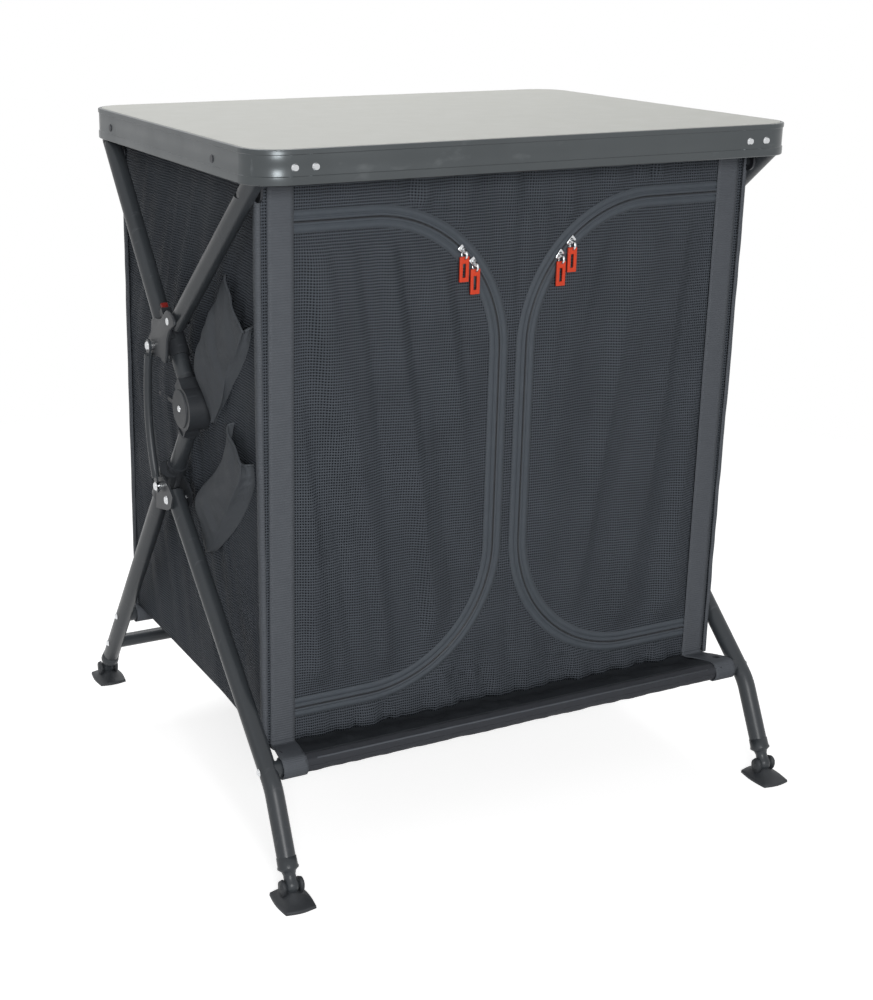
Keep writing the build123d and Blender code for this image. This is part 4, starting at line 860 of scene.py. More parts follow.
# %% [markdown]
# ## Zip tapes and teeth
#
# A zip has two woven tapes, each with a coil of teeth along its edge. One tape is sewn to
# the panel, the other to the door. A tape is a narrow sheet that follows the zip's line.
# The coil is a curve whose thickness swells and shrinks every half tooth.

# %% Tapes and coils
# a tape's section in mm: how far from the zip's line, and how high over the cloth
TAPE_PROFILE = [(0.5, 0.0), (0.9, 1.5), (2.2, 2.0), (3.5, 1.5), (3.9, 0.0), (5.1, 0.0), (5.5, 1.0)]
TAPE_PROFILE += [(8.0, 1.2), (10.4, 1.0), (10.8, 0.3), (12.5, 0.3)]
TAPE_LIFT = 0.5 * MM
DOOR_TAPE_SHIFT = 0.6 * MM
TOOTH_PITCH = 1.9 * MM
COIL_OFFSET = 0.9 * MM
COIL_LIFT = 1.3 * MM
COIL_RADIUS = 0.8 * MM
COIL_WAIST = 0.72
tooth_points = zip_line(TOOTH_PITCH / 2)


def beside_zip(point, sign, offset, lift):
    """A place at an offset outside the zip's line, lifted off the cloth."""
    (x, z), (out_x, out_z), _ = point
    x, z = x + out_x * offset, z + out_z * offset
    place = front_place(x, z, lift)
    place.x *= -sign
    if sign > 0:
        place.y = front_place(-x, z, lift).y
    return place


def make_tape(name, sign, way, body):
    """One woven tape. Its section has a ridge over the coil and a groove for the thread."""
    count = len(tape_points) - 1
    last = len(TAPE_PROFILE) - 1
    shift = 0.0 if way > 0 else DOOR_TAPE_SHIFT

    def tape_place(across, along):
        offset, height = TAPE_PROFILE[round(across * last)]
        point = tape_points[round(along * count)]
        return beside_zip(point, sign, way * (offset * MM + shift), TAPE_LIFT + height * MM)

    def tape_flat(across, along):
        return (TAPE_PROFILE[round(across * last)][0] * MM, along * tape_points[-1][2])

    grid = (last, count, tape_place, tape_flat)
    band = make_sheet(name, *grid, (0, -1, 0), zip_tape, body, "webbing", 0.7 * MM)
    crumple(band)
    return band


def make_coil(name, sign, offset, body):
    """The teeth of one tape."""
    places = [beside_zip(point, sign, offset, COIL_LIFT) for point in tooth_points]
    coil = make_cord(name, places, COIL_RADIUS, 1, zip_coil, body, COIL_WAIST)
    crumple(coil)


for side, sign in SIDES:
    outer = make_tape(f"zip_tape_outer_{side}", sign, 1, "worktop")
    make_tape(f"zip_tape_inner_{side}", sign, -1, f"door_{side}")
    make_coil(f"zip_coil_outer_{side}", sign, COIL_OFFSET, "worktop")
    make_coil(f"zip_coil_inner_{side}", sign, -COIL_OFFSET, f"door_{side}")
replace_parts(outer, "zip_tapes")
print("teeth on each coil:", len(tooth_points) // 2)

# %% [markdown]
# ## Webbing and corner binding
#
# A strip of webbing stiffens each front edge, and a folded binding closes the corner where
# the front meets the side. The binding's section is a small hook that wraps the corner.

# %% Webbing strips and binding
WEBBING_OUTER, WEBBING_INNER = 311.2 * MM, 280.4 * MM
WEBBING_WIDTH = WEBBING_OUTER - WEBBING_INNER
STRAP_SHIFT = 10.0 * MM
WEBBING_LIFT = 2.4 * MM
STRAP_RADIUS = 13.4 * MM
STRAP_WRAP = [(0.35, 0.94), (-0.50, 0.87), (-1.0, 0.0), (-0.50, -0.87), (0.50, -0.87)]
STRAP_CUT = 112.0 * MM
BINDING_WIDTH = 20.0 * MM
# the binding's section in mm: x and y of a hook that wraps the corner
BINDING_SECTION = [(314.4, -208.8), (314.8, -210.6), (317.0, -211.2), (319.6, -210.3)]
BINDING_SECTION += [(321.0, -207.6), (320.8, -203.5), (319.6, -199.5), (317.6, -197.5)]


def make_webbing(side, sign):
    """The strip beside a door."""

    def strip_place(across, upward):
        x = WEBBING_INNER + WEBBING_WIDTH * across
        z = CLOTH_FOOT + WALL_HEIGHT * upward
        soft = 0.0005 * fold(x, z, 0.02, 0.05, 2.2) + 0.0004 * math.sin(across * math.pi)
        return Vector((sign * x, FRONT_Y - WEBBING_LIFT - soft, z))

    grid = (6, 90, strip_place, plain_cut(WEBBING_WIDTH, WALL_HEIGHT))
    strip = make_sheet(f"front_webbing_{side}", *grid, (0, -1, 0), webbing, "worktop", "webbing")
    crumple(strip)
    return strip


def make_strap(side, sign):
    """The webbing runs on from the wall's foot, over the apron, to the front tube."""
    tube_y, tube_z = tube_axis("front_sleeve")
    line = [
        Vector((0, FRONT_Y - 1.2 * MM, CLOTH_FOOT + 12 * MM)),
        Vector((0, FRONT_Y - 4.0 * MM, CLOTH_FOOT + 2 * MM)),
        Vector((0, (FRONT_Y + tube_y) / 2, (CLOTH_FOOT + tube_z + STRAP_RADIUS) / 2 + 1 * MM)),
    ]
    for y_share, z_share in STRAP_WRAP:
        line.append(Vector((0, tube_y + STRAP_RADIUS * y_share, tube_z + STRAP_RADIUS * z_share)))

    def strap_place(across, onward):
        place = through(line, onward)
        x = WEBBING_INNER + WEBBING_WIDTH * across + STRAP_SHIFT * smooth_step(0.08, 0.5, onward)
        return Vector((sign * x, place.y - 0.0008 * fold(x, onward, 0.02, 0.2, 6.6), place.z))

    grid = (8, 70, strap_place, plain_cut(WEBBING_WIDTH, STRAP_CUT))
    strap = make_sheet(f"front_strap_{side}", *grid, (0, -1, 1), webbing, "front_legs", "webbing")


def make_binding(side, sign):
    """The folded tape that wraps a front corner."""
    last = len(BINDING_SECTION) - 1

    def binding_place(across, upward):
        x, y = BINDING_SECTION[round(across * last)]
        z = CLOTH_FOOT + WALL_HEIGHT * upward
        soft = 0.6 * fold(z, x / 40, 0.03, 0.5, 4.4)
        return Vector((sign * ((x + soft) * MM + corner_lean(z)), (y - soft / 2) * MM, z))

    grid = (last, 110, binding_place, plain_cut(BINDING_WIDTH, WALL_HEIGHT))
    tape = make_sheet(f"corner_binding_{side}", *grid, (sign, -1, 0), webbing, "worktop", "webbing")
    crumple(tape)


for side, sign in SIDES:
    strip = make_webbing(side, sign)
    make_strap(side, sign)
    make_binding(side, sign)
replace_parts(strip, "front_webbing")
print("webbing is", round(WEBBING_WIDTH * 1000), "mm wide")

# %% [markdown]
# ## Side walls, rear wall and floor
#
# These walls are plain sheets of the same mesh. They belly out a little between their
# seams, because the body stands taut on the frame but its cloth is a size larger.

# %% Side and rear walls
SIDE_X = 314.2 * MM
SIDE_FRONT_Y = -206.5 * MM
REAR_TOP_Y, REAR_FOOT_Y = 242.2 * MM, 251.2 * MM
REAR_HALF = 312.7 * MM
REAR_BINDING_WIDTH = 24.0 * MM
# the rear binding's section in mm: x, and how far behind the rear wall
REAR_BINDING = [(315.8, -11.0), (316.8, -9.0), (317.0, -1.0), (315.6, 1.6), (311.0, 2.2), (304.0, 2.2)]


def rear_edge(z):
    """The rear wall leans: it is further back at its foot."""
    return REAR_FOOT_Y + (REAR_TOP_Y - REAR_FOOT_Y) * (z - CLOTH_FOOT) / WALL_HEIGHT


def rear_height(upward):
    """The rear wall's foot is drawn up, so it starts above the front's."""
    return CLOTH_FOOT + CLOTH_SAG + (WALL_HEIGHT - CLOTH_SAG) * upward


def arch(share):
    """0 at both ends and 1 in the middle, steep at the ends."""
    return math.sin(math.pi * min(max(share, 0), 1)) ** 0.5


def foot_rise(y):
    """The walls hang lowest at the front, where the apron pulls them down."""
    return CLOTH_SAG * smooth_step(FRONT_Y, -0.05, y)


def make_side_wall(side, sign):
    """One side wall, with its top corner drawn out at the front."""

    def wall_place(across, upward):
        z = CLOTH_FOOT + WALL_HEIGHT * upward
        y = SIDE_FRONT_Y + (rear_edge(z) - SIDE_FRONT_Y) * across
        z += foot_rise(y) * (1 - upward)
        slant = y + 0.45 * (z - 0.5) * (1 if z > 0.5 else -0.6)
        soft = fold(slant, z, 0.030, 0.34, 12.0 + sign) + 0.35 * fold(slant, z, 0.012, 0.2, 15.0)
        out = arch(across) * arch(upward) * min(0.0075 * soft - 0.0015, 0.0022)
        lean = corner_lean(z) * (1 - across) ** 3
        return Vector((sign * (SIDE_X + out + lean), y, z))

    def wall_flat(across, upward):
        z = CLOTH_FOOT + WALL_HEIGHT * upward
        return (SIDE_FRONT_Y + (rear_edge(z) - SIDE_FRONT_Y) * across, z)

    node = f"side_wall_{side}"
    grid = (70, 80, wall_place, wall_flat)
    wall = make_sheet(node + "_cloth", *grid, (sign, 0, 0), mesh_cloth, "worktop")
    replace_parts(wall, node)
    crumple(wall)


def rear_place(across, upward):
    z = rear_height(upward)
    x = (2 * across - 1) * REAR_HALF
    soft = 0.6 + 0.9 * fold(x, z, 0.06, 0.35, 21.0)
    return Vector((x, rear_edge(z) + arch(across) * arch(upward) * 0.0035 * soft, z))


rear_grid = (90, 80, rear_place, plain_cut(2 * REAR_HALF, WALL_HEIGHT))
rear_wall = make_sheet("rear_wall_cloth", *rear_grid, (0, 1, 0), mesh_cloth, "worktop")
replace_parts(rear_wall, "rear_wall")
crumple(rear_wall)


def make_rear_binding(side, sign):
    """The tape over a rear corner."""
    last = len(REAR_BINDING) - 1

    def binding_place(across, upward):
        x, behind = REAR_BINDING[round(across * last)]
        z = rear_height(upward)
        out = x + 0.4 * fold(z, x / 40, 0.03, 0.5, 8.4)
        return Vector((sign * out * MM, rear_edge(z) + behind * MM, z))

    grid = (last, 90, binding_place, plain_cut(REAR_BINDING_WIDTH, WALL_HEIGHT))
    tape = make_sheet(f"rear_binding_{side}", *grid, (sign, 1, 0), webbing, "worktop", "webbing")
    crumple(tape)


for make_part in (make_side_wall, make_rear_binding):
    for side, sign in SIDES:
        make_part(side, sign)
print("wall height", round(WALL_HEIGHT * 1000), "mm")

# %% Floor of the body
FLOOR_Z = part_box("floor_cloth")[1][2]
FLOOR_FRONT_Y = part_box("floor_cloth")[0][1]
FLOOR_DEPTH = REAR_FOOT_Y - FLOOR_FRONT_Y
ROW_CROWD = 1.6


def floor_place(across, backward):
    x = (2 * across - 1) * REAR_HALF
    y = FLOOR_FRONT_Y + FLOOR_DEPTH * backward**ROW_CROWD
    apron = smooth_step(FLOOR_FRONT_Y, FLOOR_FRONT_Y + 0.02, y) * (1 - smooth_step(-0.225, -0.205, y))
    pucker = fold(x, y, 0.011, 0.06, 31.0) * 0.0024 + fold(x, y, 0.03, 0.09, 33.0) * 0.0030
    level = FLOOR_Z - CLOTH_SAG + foot_rise(y)
    if y < FRONT_Y:
        level += (FLOOR_Z - level) * smooth_step(FRONT_Y, FLOOR_FRONT_Y + 0.012, y)
    return Vector((x, y, level - apron * (0.0022 - pucker)))


def floor_flat(across, backward):
    return (across * 2 * REAR_HALF, FLOOR_DEPTH * backward**ROW_CROWD)


# the floor sheet wears the apron cloth, whose dark colour is partly its own and partly painted shade
floor_cloth = make_sheet("floor_sheet", 180, 70, floor_place, floor_flat, (0, 0, 1), apron_cloth, "worktop")
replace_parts(floor_cloth, "floor_cloth")
crumple(floor_cloth)
print("floor depth", round(FLOOR_DEPTH * 1000), "mm")

# %% [markdown]
# ## Sleeves round the cross tubes
#
# The floor's front and rear edges are sewn into sleeves that run on the cross tubes. A
# sleeve is a sheet rolled round the tube, with a standing seam and small puckers along it.
# Two webbing loops hold each sleeve near its ends.

# %% Sleeves and loops
SLEEVE_HALF = 300.0 * MM
SLEEVE_RADIUS = 11.2 * MM
LOOP_INNER, LOOP_OUTER = 292.0 * MM, 320.0 * MM
LOOP_RADIUS = SLEEVE_RADIUS + 1.3 * MM
PIPING_REACH, PIPING_TURN = 12.6 * MM, 0.72
ROLL_ROWS = 40
FRONT_AXIS = tube_axis("front_sleeve")
REAR_AXIS = tube_axis("rear_sleeve")


def make_roll(name, axis, ends, radius, seam, finish, body, columns, ripple):
    """Cloth rolled round a tube. The seam is its place round the roll and its height."""
    length = ends[1] - ends[0]

    def roll_place(across, around):
        x = ends[0] + length * across
        angle = 2 * math.pi * around
        ridge = seam[1] * math.exp(-(((around - seam[0]) * 24) ** 2))
        reach = radius + ridge + ripple * fold(x, math.sin(angle), 0.014, 1.4, 41.0)
        return Vector((x, axis[0] - reach * math.cos(angle), axis[1] + reach * math.sin(angle)))

    def roll_flat(across, around):
        return (ends[0] + length * across, 2 * math.pi * radius * around)

    mesh = patterned_grid(columns, ROLL_ROWS, roll_place, roll_flat)
    bmesh.ops.remove_doubles(mesh, verts=mesh.verts, dist=1e-6)
    bmesh.ops.recalc_face_normals(mesh, faces=mesh.faces)
    first = next(iter(mesh.faces))
    middle = first.calc_center_median()
    outward = Vector((0, middle.y - axis[0], middle.z - axis[1]))
    if first.normal.dot(outward) < 0:
        bmesh.ops.reverse_faces(mesh, faces=mesh.faces)
    roll = make_piece(name, mesh, finish, body)
    thicken(roll, 1.0 * MM)
    return roll


for name, axis, body, turn in (
    ("front_sleeve", FRONT_AXIS, "front_legs", 0.10),
    ("rear_sleeve", REAR_AXIS, "lower_rear_frame", 0.40),
):
    ends = (-SLEEVE_HALF, SLEEVE_HALF)
    seam = (turn, 1.8 * MM)
    roll = make_roll(name + "_cloth", axis, ends, SLEEVE_RADIUS, seam, sleeve_cloth, body, 150, 0.9 * MM)
    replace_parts(roll, name)
    for side, sign in SIDES:
        ends = sorted((sign * LOOP_INNER, sign * LOOP_OUTER))
        seam = (turn, 0.9 * MM)
        make_roll(f"{name}_loop_{side}", axis, ends, LOOP_RADIUS, seam, webbing, body, 8, 0.15 * MM)

piping_y = FRONT_AXIS[0] - PIPING_REACH * math.cos(PIPING_TURN)
piping_z = FRONT_AXIS[1] + PIPING_REACH * math.sin(PIPING_TURN)
piping = bmesh.new()
add_rod(piping, (0, piping_y, piping_z), (1.2 * MM, 1.2 * MM), 556.0 * MM, 10)
make_piece("front_sleeve_piping", piping, webbing, "front_legs")
print("front sleeve axis at y, z", [round(v * 1000, 1) for v in FRONT_AXIS])

# %% [markdown]
# ## Pockets
#
# The two pockets are sewn to the left wall along their sides and foot. The mouth is longer
# than the wall behind it, so it falls open and its edge sags. The shell is a grid that
# bulges away from the wall, most at the mouth, with a rolled hem along the edge.

# %% Pockets on the left wall
POCKET_WALL = SIDE_X + 0.8 * MM
POCKETS = {
    "upper_pocket": [
        [(0, -60, 492), (3, -63, 490), (5, -68, 491), (0, -72, 493)],
        [(0, -50, 518), (10, -49, 521), (9, -107, 529), (0, -95, 522)],
        [(0, -42, 552), (16, -39, 553), (13, -131, 570), (0, -137, 560)],
        [(0, -66, 604), (16, -64, 598), (15, -163, 598), (0, -168, 596)],
        [(0, -100, 668), (4, -110, 673), (16, -186, 626), (0, -184, 631)],
    ],
    "lower_pocket": [
        [(0, -25, 313), (2, -29, 314), (6, -52, 324), (0, -62, 328)],
        [(0, -18, 345), (10, -34, 352), (12, -108, 382), (0, -132, 385)],
        [(0, -26, 400), (15, -36, 389), (18, -149, 422), (0, -178, 440)],
        [(0, -88, 446), (12, -108, 455), (19, -179, 456), (0, -182, 457)],
        [(0, -122, 504), (6, -121, 500), (17, -178, 474), (0, -178, 470)],
    ],
}
FACE_SHARE = 0.74
POCKET_CUT = {"upper_pocket": (0.125, 0.165), "lower_pocket": (0.135, 0.190)}
FACE_SWELL = Vector((-0.003, 0, 0))
HEM_RADIUS = 1.6 * MM
HEM_SHIFT = Vector((-0.0003, 0, 0.0004))
HEM_STEPS = 46


def make_pocket(name, rows):
    """A pocket through rows of four places: rear seam, face left and right, front seam."""
    net = [[Vector((-out * MM - POCKET_WALL, y * MM, z * MM)) for out, y, z in row] for row in rows]

    def pocket_place(across, upward):
        rear, left, right, front = [through([row[k] for row in net], upward) for k in range(4)]
        if across < FACE_SHARE:
            share = across / FACE_SHARE
            place = through([rear, left, left.lerp(right, 0.5) + FACE_SWELL, right], share)
            crease = fold(place.y * 1.2 - 0.5 * place.z, place.z, 0.022, 0.09, 51.0) * 0.0045
            place.x += crease * arch(share) * smooth_step(0.0, 0.25, upward)
        else:
            share = (across - FACE_SHARE) / (1 - FACE_SHARE)
            tuck = math.sin(math.pi * share) * (0.004 + 0.003 * fold(share, right.z, 0.4, 0.012, 5.0))
            place = right.lerp(front, share) + Vector((0, tuck, -tuck * 0.6))
        place.x = min(place.x, -POCKET_WALL)
        return place

    grid = (46, 44, pocket_place, plain_cut(*POCKET_CUT[name]))
    shell = make_sheet(name, *grid, (-1, 0, 0), pocket_cloth, "worktop", "cloth", 0.9 * MM)
    crumple(shell)
    mouth = [pocket_place(i / HEM_STEPS, 1.0) + HEM_SHIFT for i in range(HEM_STEPS + 1)]
    hem = make_cord(name + "_hem", mouth, HEM_RADIUS, 2, pocket_cloth, "worktop")
    crumple(hem)
    return shell


for name, rows in POCKETS.items():
    pocket = make_pocket(name, rows)
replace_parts(pocket, "side_pockets")
print("pockets:", list(POCKETS))

# %% [markdown]
# ## Stitching
#
# Rows of thread hold the webbing and the tapes. A stitch is a tiny rounded dash. Hundreds
# of them share one mesh for each body, and each has only twenty faces.

# %% Rows of stitches
STITCH_PITCH = 4.4 * MM
STITCH_LENGTH = 2.6 * MM
STITCH_THICKNESS = 0.7 * MM
STITCH_LIFT = 1.75 * MM
WEBBING_STITCHES = (285.4 * MM, 305.4 * MM)
STITCH_SHAPE = Matrix.Diagonal((STITCH_THICKNESS / 2, STITCH_THICKNESS / 2, STITCH_LENGTH / 2, 1))
stitch_points = zip_line(STITCH_PITCH)
stitch_rows = int(WALL_HEIGHT / STITCH_PITCH)


def zip_stitches(sign, offset):
    """The dashes of a row that follows a zip: places and directions."""
    dashes = []
    for point in stitch_points[1:-1]:
        place = beside_zip(point, sign, offset, TAPE_LIFT + 0.45 * MM)
        dashes.append((place, Vector((-sign * point[1][1], 0, -point[1][0]))))
    return dashes


def webbing_stitches(x):
    """The dashes of a row that runs up the webbing."""
    heights = [CLOTH_FOOT + STITCH_PITCH * i for i in range(1, stitch_rows)]
    return [(Vector((x, FRONT_Y - STITCH_LIFT, z)), Vector((0, 0, 1))) for z in heights]


def make_stitches(name, dashes, body):
    """Many stitches in one mesh."""
    mesh = bmesh.new()
    for place, direction in dashes:
        shape = Matrix.Translation(place) @ turned_to(direction) @ STITCH_SHAPE
        bmesh.ops.create_icosphere(mesh, subdivisions=1, radius=1.0, matrix=shape)
    crumple(make_piece(name, mesh, stitching, body))


for side, sign in SIDES:
    dashes = zip_stitches(sign, 11.6 * MM)
    for x in WEBBING_STITCHES:
        dashes += webbing_stitches(sign * x)
    make_stitches(f"stitches_{side}_worktop", dashes, "worktop")
    make_stitches(f"stitches_{side}_door_{side}", zip_stitches(sign, -12.2 * MM), f"door_{side}")
print("stitches in one row of a zip:", len(stitch_points))

# %% [markdown]
# ## Zip sliders and pulls
#
# The slider is a small die-cast body with a bridge over it, and the pull is a red moulded
# tab with a slot, on a wire ring. A bevelled block and a short spin make the first, and a
# grid with its middle left out makes the second.

# %% Sliders and pulls
SLIDER_SIZE = (8.6 * MM, 3.4 * MM, 12.5 * MM)
SLIDER_TAPER = 0.66
PULL_SIZE = (12.0 * MM, 29.0 * MM, 2.6 * MM)
SLOT_HALF, SLOT_FOOT, SLOT_TOP = 2.1 * MM, 5.0 * MM, 8.0 * MM


def make_slider(node):
    """A slider that rides on the body with its own name."""
    low, high = corners_of(node)
    x, z = (low.x + high.x) / 2, (low.z + high.z) / 2
    sign = -1 if x < 0 else 1
    angle = math.atan2(z - (DOOR_TOP - ARC), INNER_X + ARC - abs(x))
    mesh = bmesh.new()
    bmesh.ops.create_cube(mesh, size=1.0)
    bmesh.ops.scale(mesh, vec=SLIDER_SIZE, verts=mesh.verts)
    for vertex in mesh.verts:
        if vertex.co.z < 0:
            vertex.co.x *= SLIDER_TAPER
    round_edges(mesh, mesh.edges[:], 1.1 * MM)
    place = Matrix.Translation((x, high.y - 1.8 * MM, z)) @ Matrix.Rotation(sign * angle, 4, "Y")
    bmesh.ops.transform(mesh, matrix=place, verts=mesh.verts)
    add_ring(mesh, Vector((x, high.y - 3.6 * MM, z)), 3.0 * MM, 0.7 * MM, 1.6)
    bmesh.ops.recalc_face_normals(mesh, faces=mesh.faces)
    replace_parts(make_piece(node + "_metal", mesh, bright_steel, node), node)


def make_pull(node):
    """A tab with a slot, and the wire ring above it."""
    low, high = corners_of(node)
    x, y = (low.x + high.x) / 2, (low.y + high.y) / 2
    width, height, thickness = PULL_SIZE
    top = low.z + height
    mesh = bmesh.new()
    bmesh.ops.create_grid(mesh, x_segments=3, y_segments=3, size=0.5)
    reach = max(vertex.co.x for vertex in mesh.verts)
    x_stops = [-width / 2, -SLOT_HALF, SLOT_HALF, width / 2]
    z_stops = [low.z, low.z + SLOT_FOOT, top - SLOT_TOP, top]
    for vertex in mesh.verts:
        column = round((vertex.co.x / reach + 1) * 1.5)
        row = round((vertex.co.y / reach + 1) * 1.5)
        vertex.co = (x + x_stops[column], y - thickness / 2, z_stops[row])
    slot_middle = Vector((x, y, (z_stops[1] + z_stops[2]) / 2))
    slot = min(mesh.faces, key=lambda face: (face.calc_center_median() - slot_middle).length)
    bmesh.ops.delete(mesh, geom=[slot], context="FACES_ONLY")
    walls = bmesh.ops.extrude_face_region(mesh, geom=mesh.faces[:])["geom"]
    moved = [item for item in walls if isinstance(item, bmesh.types.BMVert)]
    bmesh.ops.translate(mesh, vec=(0, thickness, 0), verts=moved)
    bmesh.ops.recalc_face_normals(mesh, faces=mesh.faces)
    sharp = [edge for edge in mesh.edges if len(edge.link_faces) == 2 and edge.calc_face_angle() > 0.5]
    round_edges(mesh, sharp, 0.6 * MM)
    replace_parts(make_piece(node + "_tab", mesh, red_plastic, node), node)
    mesh = bmesh.new()
    bar_z = high.z - 2.2 * MM
    centre = Vector((x, y, (top - 2.0 * MM + bar_z) / 2))
    add_ring(mesh, centre, (bar_z - top + 3.4 * MM) / 2 + 0.4 * MM, 0.75 * MM, 2.0)
    bmesh.ops.recalc_face_normals(mesh, faces=mesh.faces)
    make_piece(node + "_ring", mesh, bright_steel, node)


for side in ("left", "right"):
    for height_name in ("upper", "lower"):
        make_slider(f"{height_name}_zip_slider_{side}")
        make_pull(f"{height_name}_zip_pull_{side}")
print("a pull is", round(PULL_SIZE[1] * 1000), "mm long")

# %% [markdown]
# ## Feet
#
# Each foot is a moulded pad that tilts on the ball of the leg. The pad's top is a grid whose
# square outline is drawn in to rounded corners, and whose height climbs like a trumpet to
# the ball. Its rim is extruded to the floor, and two ears hold the pin.

# %% Feet
EAR_GAP = 9.4 * MM
EAR_RADII, EAR_WIDTH, EAR_DROP = (8.4 * MM, 7.2 * MM), 4.0 * MM, 0.55
PIN_RADIUS = 2.5 * MM
FOOT_HALF = 20.5 * MM
FRONT_BALL_Y, REAR_BALL_Y = -321.0 * MM, 327.0 * MM
BALL_Z = 19.0 * MM
SQUARENESS = 0.62
PAD_RIM, PAD_DOME = 3.2, 1.3
TRUMPET_RISE, TRUMPET_REACH = 12.0, 11.5
SKIRT_FLARE = 1.03


def make_foot(node):
    """One foot that rides on the body with its own name."""
    low, high = corners_of(node)
    x, middle_y = (low.x + high.x) / 2, (low.y + high.y) / 2
    half_length = (high.y - low.y) / 2
    ball_y = FRONT_BALL_Y if low.y < 0 else REAR_BALL_Y
    mesh = bmesh.new()
    bmesh.ops.create_grid(mesh, x_segments=26, y_segments=34, size=1.0)
    for vertex in mesh.verts:
        u, v = vertex.co.x, vertex.co.y
        rim = max(abs(u), abs(v))
        drawn_in = SQUARENESS + (1 - SQUARENESS) * rim / max(math.hypot(u, v), 1e-6)
        px, py = u * drawn_in * FOOT_HALF, v * drawn_in * half_length
        away = math.hypot(px, (py + middle_y - ball_y) * 0.8) / MM
        rise = TRUMPET_RISE * math.exp(-((away / TRUMPET_REACH) ** 2))
        vertex.co = (x + px, middle_y + py, (PAD_RIM + PAD_DOME * (1 - rim**6) + rise) * MM)
    rim_edges = [edge for edge in mesh.edges if len(edge.link_faces) == 1]
    skirt = bmesh.ops.extrude_edge_only(mesh, edges=rim_edges)["geom"]
    for item in skirt:
        if isinstance(item, bmesh.types.BMVert):
            item.co = (x + (item.co.x - x) * SKIRT_FLARE, item.co.y, 0.0)
    floor_edges = [edge for edge in mesh.edges if len(edge.link_faces) == 1]
    bmesh.ops.edgeloop_fill(mesh, edges=floor_edges)
    for sign in (-1, 1):
        centre = (x + sign * (EAR_GAP + EAR_WIDTH / 2), ball_y, BALL_Z)
        for vertex in add_rod(mesh, centre, EAR_RADII, EAR_WIDTH, 28, sign):
            if vertex.co.z < BALL_Z:
                vertex.co.z -= (BALL_Z - vertex.co.z) * EAR_DROP
    pin_length = 2 * EAR_GAP + 9.0 * MM
    add_rod(mesh, (x, ball_y, BALL_Z), (PIN_RADIUS, PIN_RADIUS), pin_length, 16)
    bmesh.ops.recalc_face_normals(mesh, faces=mesh.faces)
    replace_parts(make_piece(node + "_shoe", mesh, rubber, node), node)


for node in ("front_foot_left", "front_foot_right", "rear_foot_left", "rear_foot_right"):
    make_foot(node)
print("four feet")

# %% [markdown]
# ## Plugs and casting covers
#
# A plug closes each leg: a collar as wide as the tube, a waist, and the ball. It is a
# profile spun round the leg's own line. The latch bracket and the knee are castings with
# soft outlines, so a cover with a bevelled rim lies on each flat plate.


# %% Leg plugs
PLUG_PROFILE = [(0, 0.5), (0, 11.6), (9.5, 11.8), (11.5, 12.6), (13, 12.4), (16, 8.6), (20, 7.2)]
WAIST_END = (24, 7.4)
BALL_REACH, BALL_SIZE = 32.0, 9.4
BALL_STEPS, FLAT_TURN = 12, 0.05
TUBE_X = 336.0 * MM
LEG_LINES = {
    "front_leg_plugs": (Vector((0, -0.273, 0.117)), Vector((0, -0.321, 0.019))),
    "rear_leg_plugs": (Vector((0, -0.031, 0.498)), Vector((0, 0.327, 0.019))),
}


def body_of(node):
    """The body that a CAD node rides on."""
    bodies = frame["record"]["behaviour"]["bodies"]
    return next(body for body, nodes in bodies.items() if node in nodes)


def spin_profile(profile, start, direction):
    """A closed turned shape: a profile of (along, radius) in mm, spun round a line."""
    mesh = bmesh.new()
    made = [mesh.verts.new((radius * MM, 0, along * MM)) for along, radius in profile]
    edges = [mesh.edges.new(pair) for pair in zip(made, made[1:])]
    spin_round(mesh, made + edges, (0, 0, 1), 32)
    bmesh.ops.remove_doubles(mesh, verts=mesh.verts, dist=1e-6)
    open_rims = [edge for edge in mesh.edges if len(edge.link_faces) == 1]
    bmesh.ops.holes_fill(mesh, edges=open_rims, sides=0)
    bmesh.ops.recalc_face_normals(mesh, faces=mesh.faces)
    bmesh.ops.transform(mesh, matrix=Matrix.Translation(start) @ turned_to(direction), verts=mesh.verts)
    return mesh


def ball_profile():
    """The waist runs into a ball, which ends in a small flat."""
    start = math.asin(WAIST_END[1] / BALL_SIZE)
    turn_left = math.pi - FLAT_TURN - start
    arc = [start + turn_left * i / BALL_STEPS for i in range(1, BALL_STEPS + 1)]
    ball = [(BALL_REACH - BALL_SIZE * math.cos(turn), BALL_SIZE * math.sin(turn)) for turn in arc]
    return [*PLUG_PROFILE, WAIST_END, *ball]


for node, (bend, ball) in LEG_LINES.items():
    direction = (ball - bend).normalized()
    for side, sign in SIDES:
        start = ball - direction * BALL_REACH * MM + Vector((sign * TUBE_X, 0, 0))
        mesh = spin_profile(ball_profile(), start, direction)
        plug = make_piece(f"{node}_{side}", mesh, tube_coat, body_of(node))
    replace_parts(plug, node)
print("plugs on", body_of("front_leg_plugs"), "and", body_of("rear_leg_plugs"))

# %% Casting covers
# the latch casting's outline, along its tube and across it, from a place on the tube
CATCH_RUN = 285.8
STAR = [(-30, 3), (-15, 29), (-12, 54), (3, 67), (14, 66), (11, 47), (16, 30), (32, 6), (17, -8), (4, -28)]
STAR += [(-8, -33), (-19, -26), (-21, -10)]
UPPER_LINE = (Vector((220.0, 786.1)), Vector((-31.0, 498.0)))
KNEE_CENTRE = Vector((-17.0, 498.0))
ROUND_STEPS = 64
RIVET_PROFILE = [(-0.5, 0.3), (-0.5, 4.4), (0.6, 4.2), (1.5, 3.0), (2.0, 0.3)]


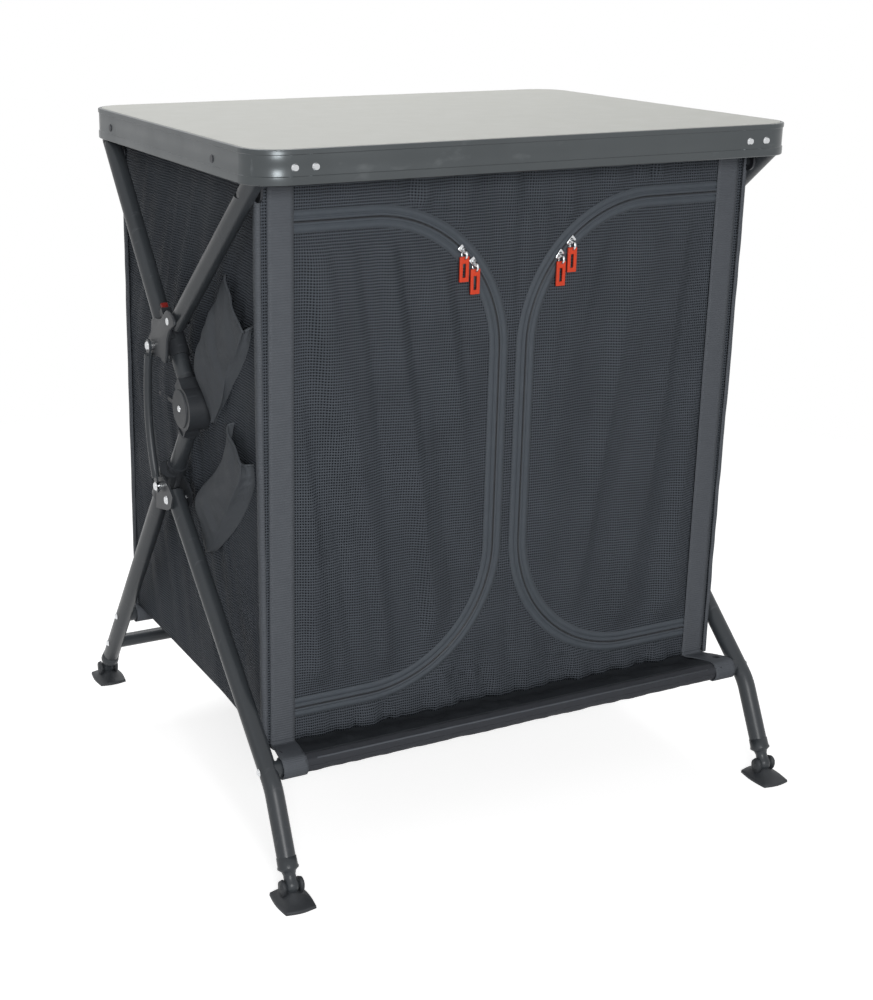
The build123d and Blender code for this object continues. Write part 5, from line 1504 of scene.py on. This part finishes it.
def make_cover(name, outline, low_x, high_x, rim, sign, node):
    """A plate with a closed outline of (y, z) places in mm and a rounded rim."""
    mesh = bmesh.new()
    ring = bmesh.ops.create_circle(mesh, cap_ends=True, segments=len(outline), radius=1.0)["verts"]
    for vertex, (y, z) in zip(ring, outline):
        vertex.co = (sign * low_x * MM, y * MM, z * MM)
    walls = bmesh.ops.extrude_face_region(mesh, geom=mesh.faces[:])["geom"]
    moved = [item for item in walls if isinstance(item, bmesh.types.BMVert)]
    bmesh.ops.translate(mesh, vec=(sign * (high_x - low_x) * MM, 0, 0), verts=moved)
    bmesh.ops.recalc_face_normals(mesh, faces=mesh.faces)
    outer = [edge for edge in mesh.edges if all(vertex in moved for vertex in edge.verts)]
    round_edges(mesh, outer, rim * MM, segments=4)
    make_piece(name, mesh, bracket_coat, body_of(node))


def star_outline():
    """The latch casting's outline as a smooth closed line."""
    along = (UPPER_LINE[1] - UPPER_LINE[0]).normalized()
    places = []
    for u, v in STAR:
        run = CATCH_RUN + u
        places.append(UPPER_LINE[0] + along * run + Vector((along.y, -along.x)) * v)
    closed = places[-2:] + places + places[:2]
    steps = 5 * len(places)
    return [through(closed, (2 + i / 5) / (len(closed) - 1)) for i in range(steps)]


def round_outline(centre, radius):
    """A circle."""
    turns = [2 * math.pi * i / ROUND_STEPS for i in range(ROUND_STEPS)]
    return [centre + Vector((math.cos(turn), math.sin(turn))) * radius for turn in turns]


knee_outline = round_outline(KNEE_CENTRE, 23.5)
for side, sign in SIDES:
    make_cover(f"latch_cover_{side}", star_outline(), 347.3, 351.0, 1.6, sign, f"latch_bracket_{side}")
    make_cover(f"knee_cover_{side}", knee_outline, 340.5, 343.2, 1.4, sign, "upper_knuckles")
    centre = Vector((sign * 343.0 * MM, KNEE_CENTRE.x * MM, KNEE_CENTRE.y * MM))
    dome = spin_profile(RIVET_PROFILE, centre, Vector((sign, 0, 0)))
    make_piece(f"knee_rivet_{side}", dome, bright_steel, body_of("upper_knuckles"))
print("covers ready")
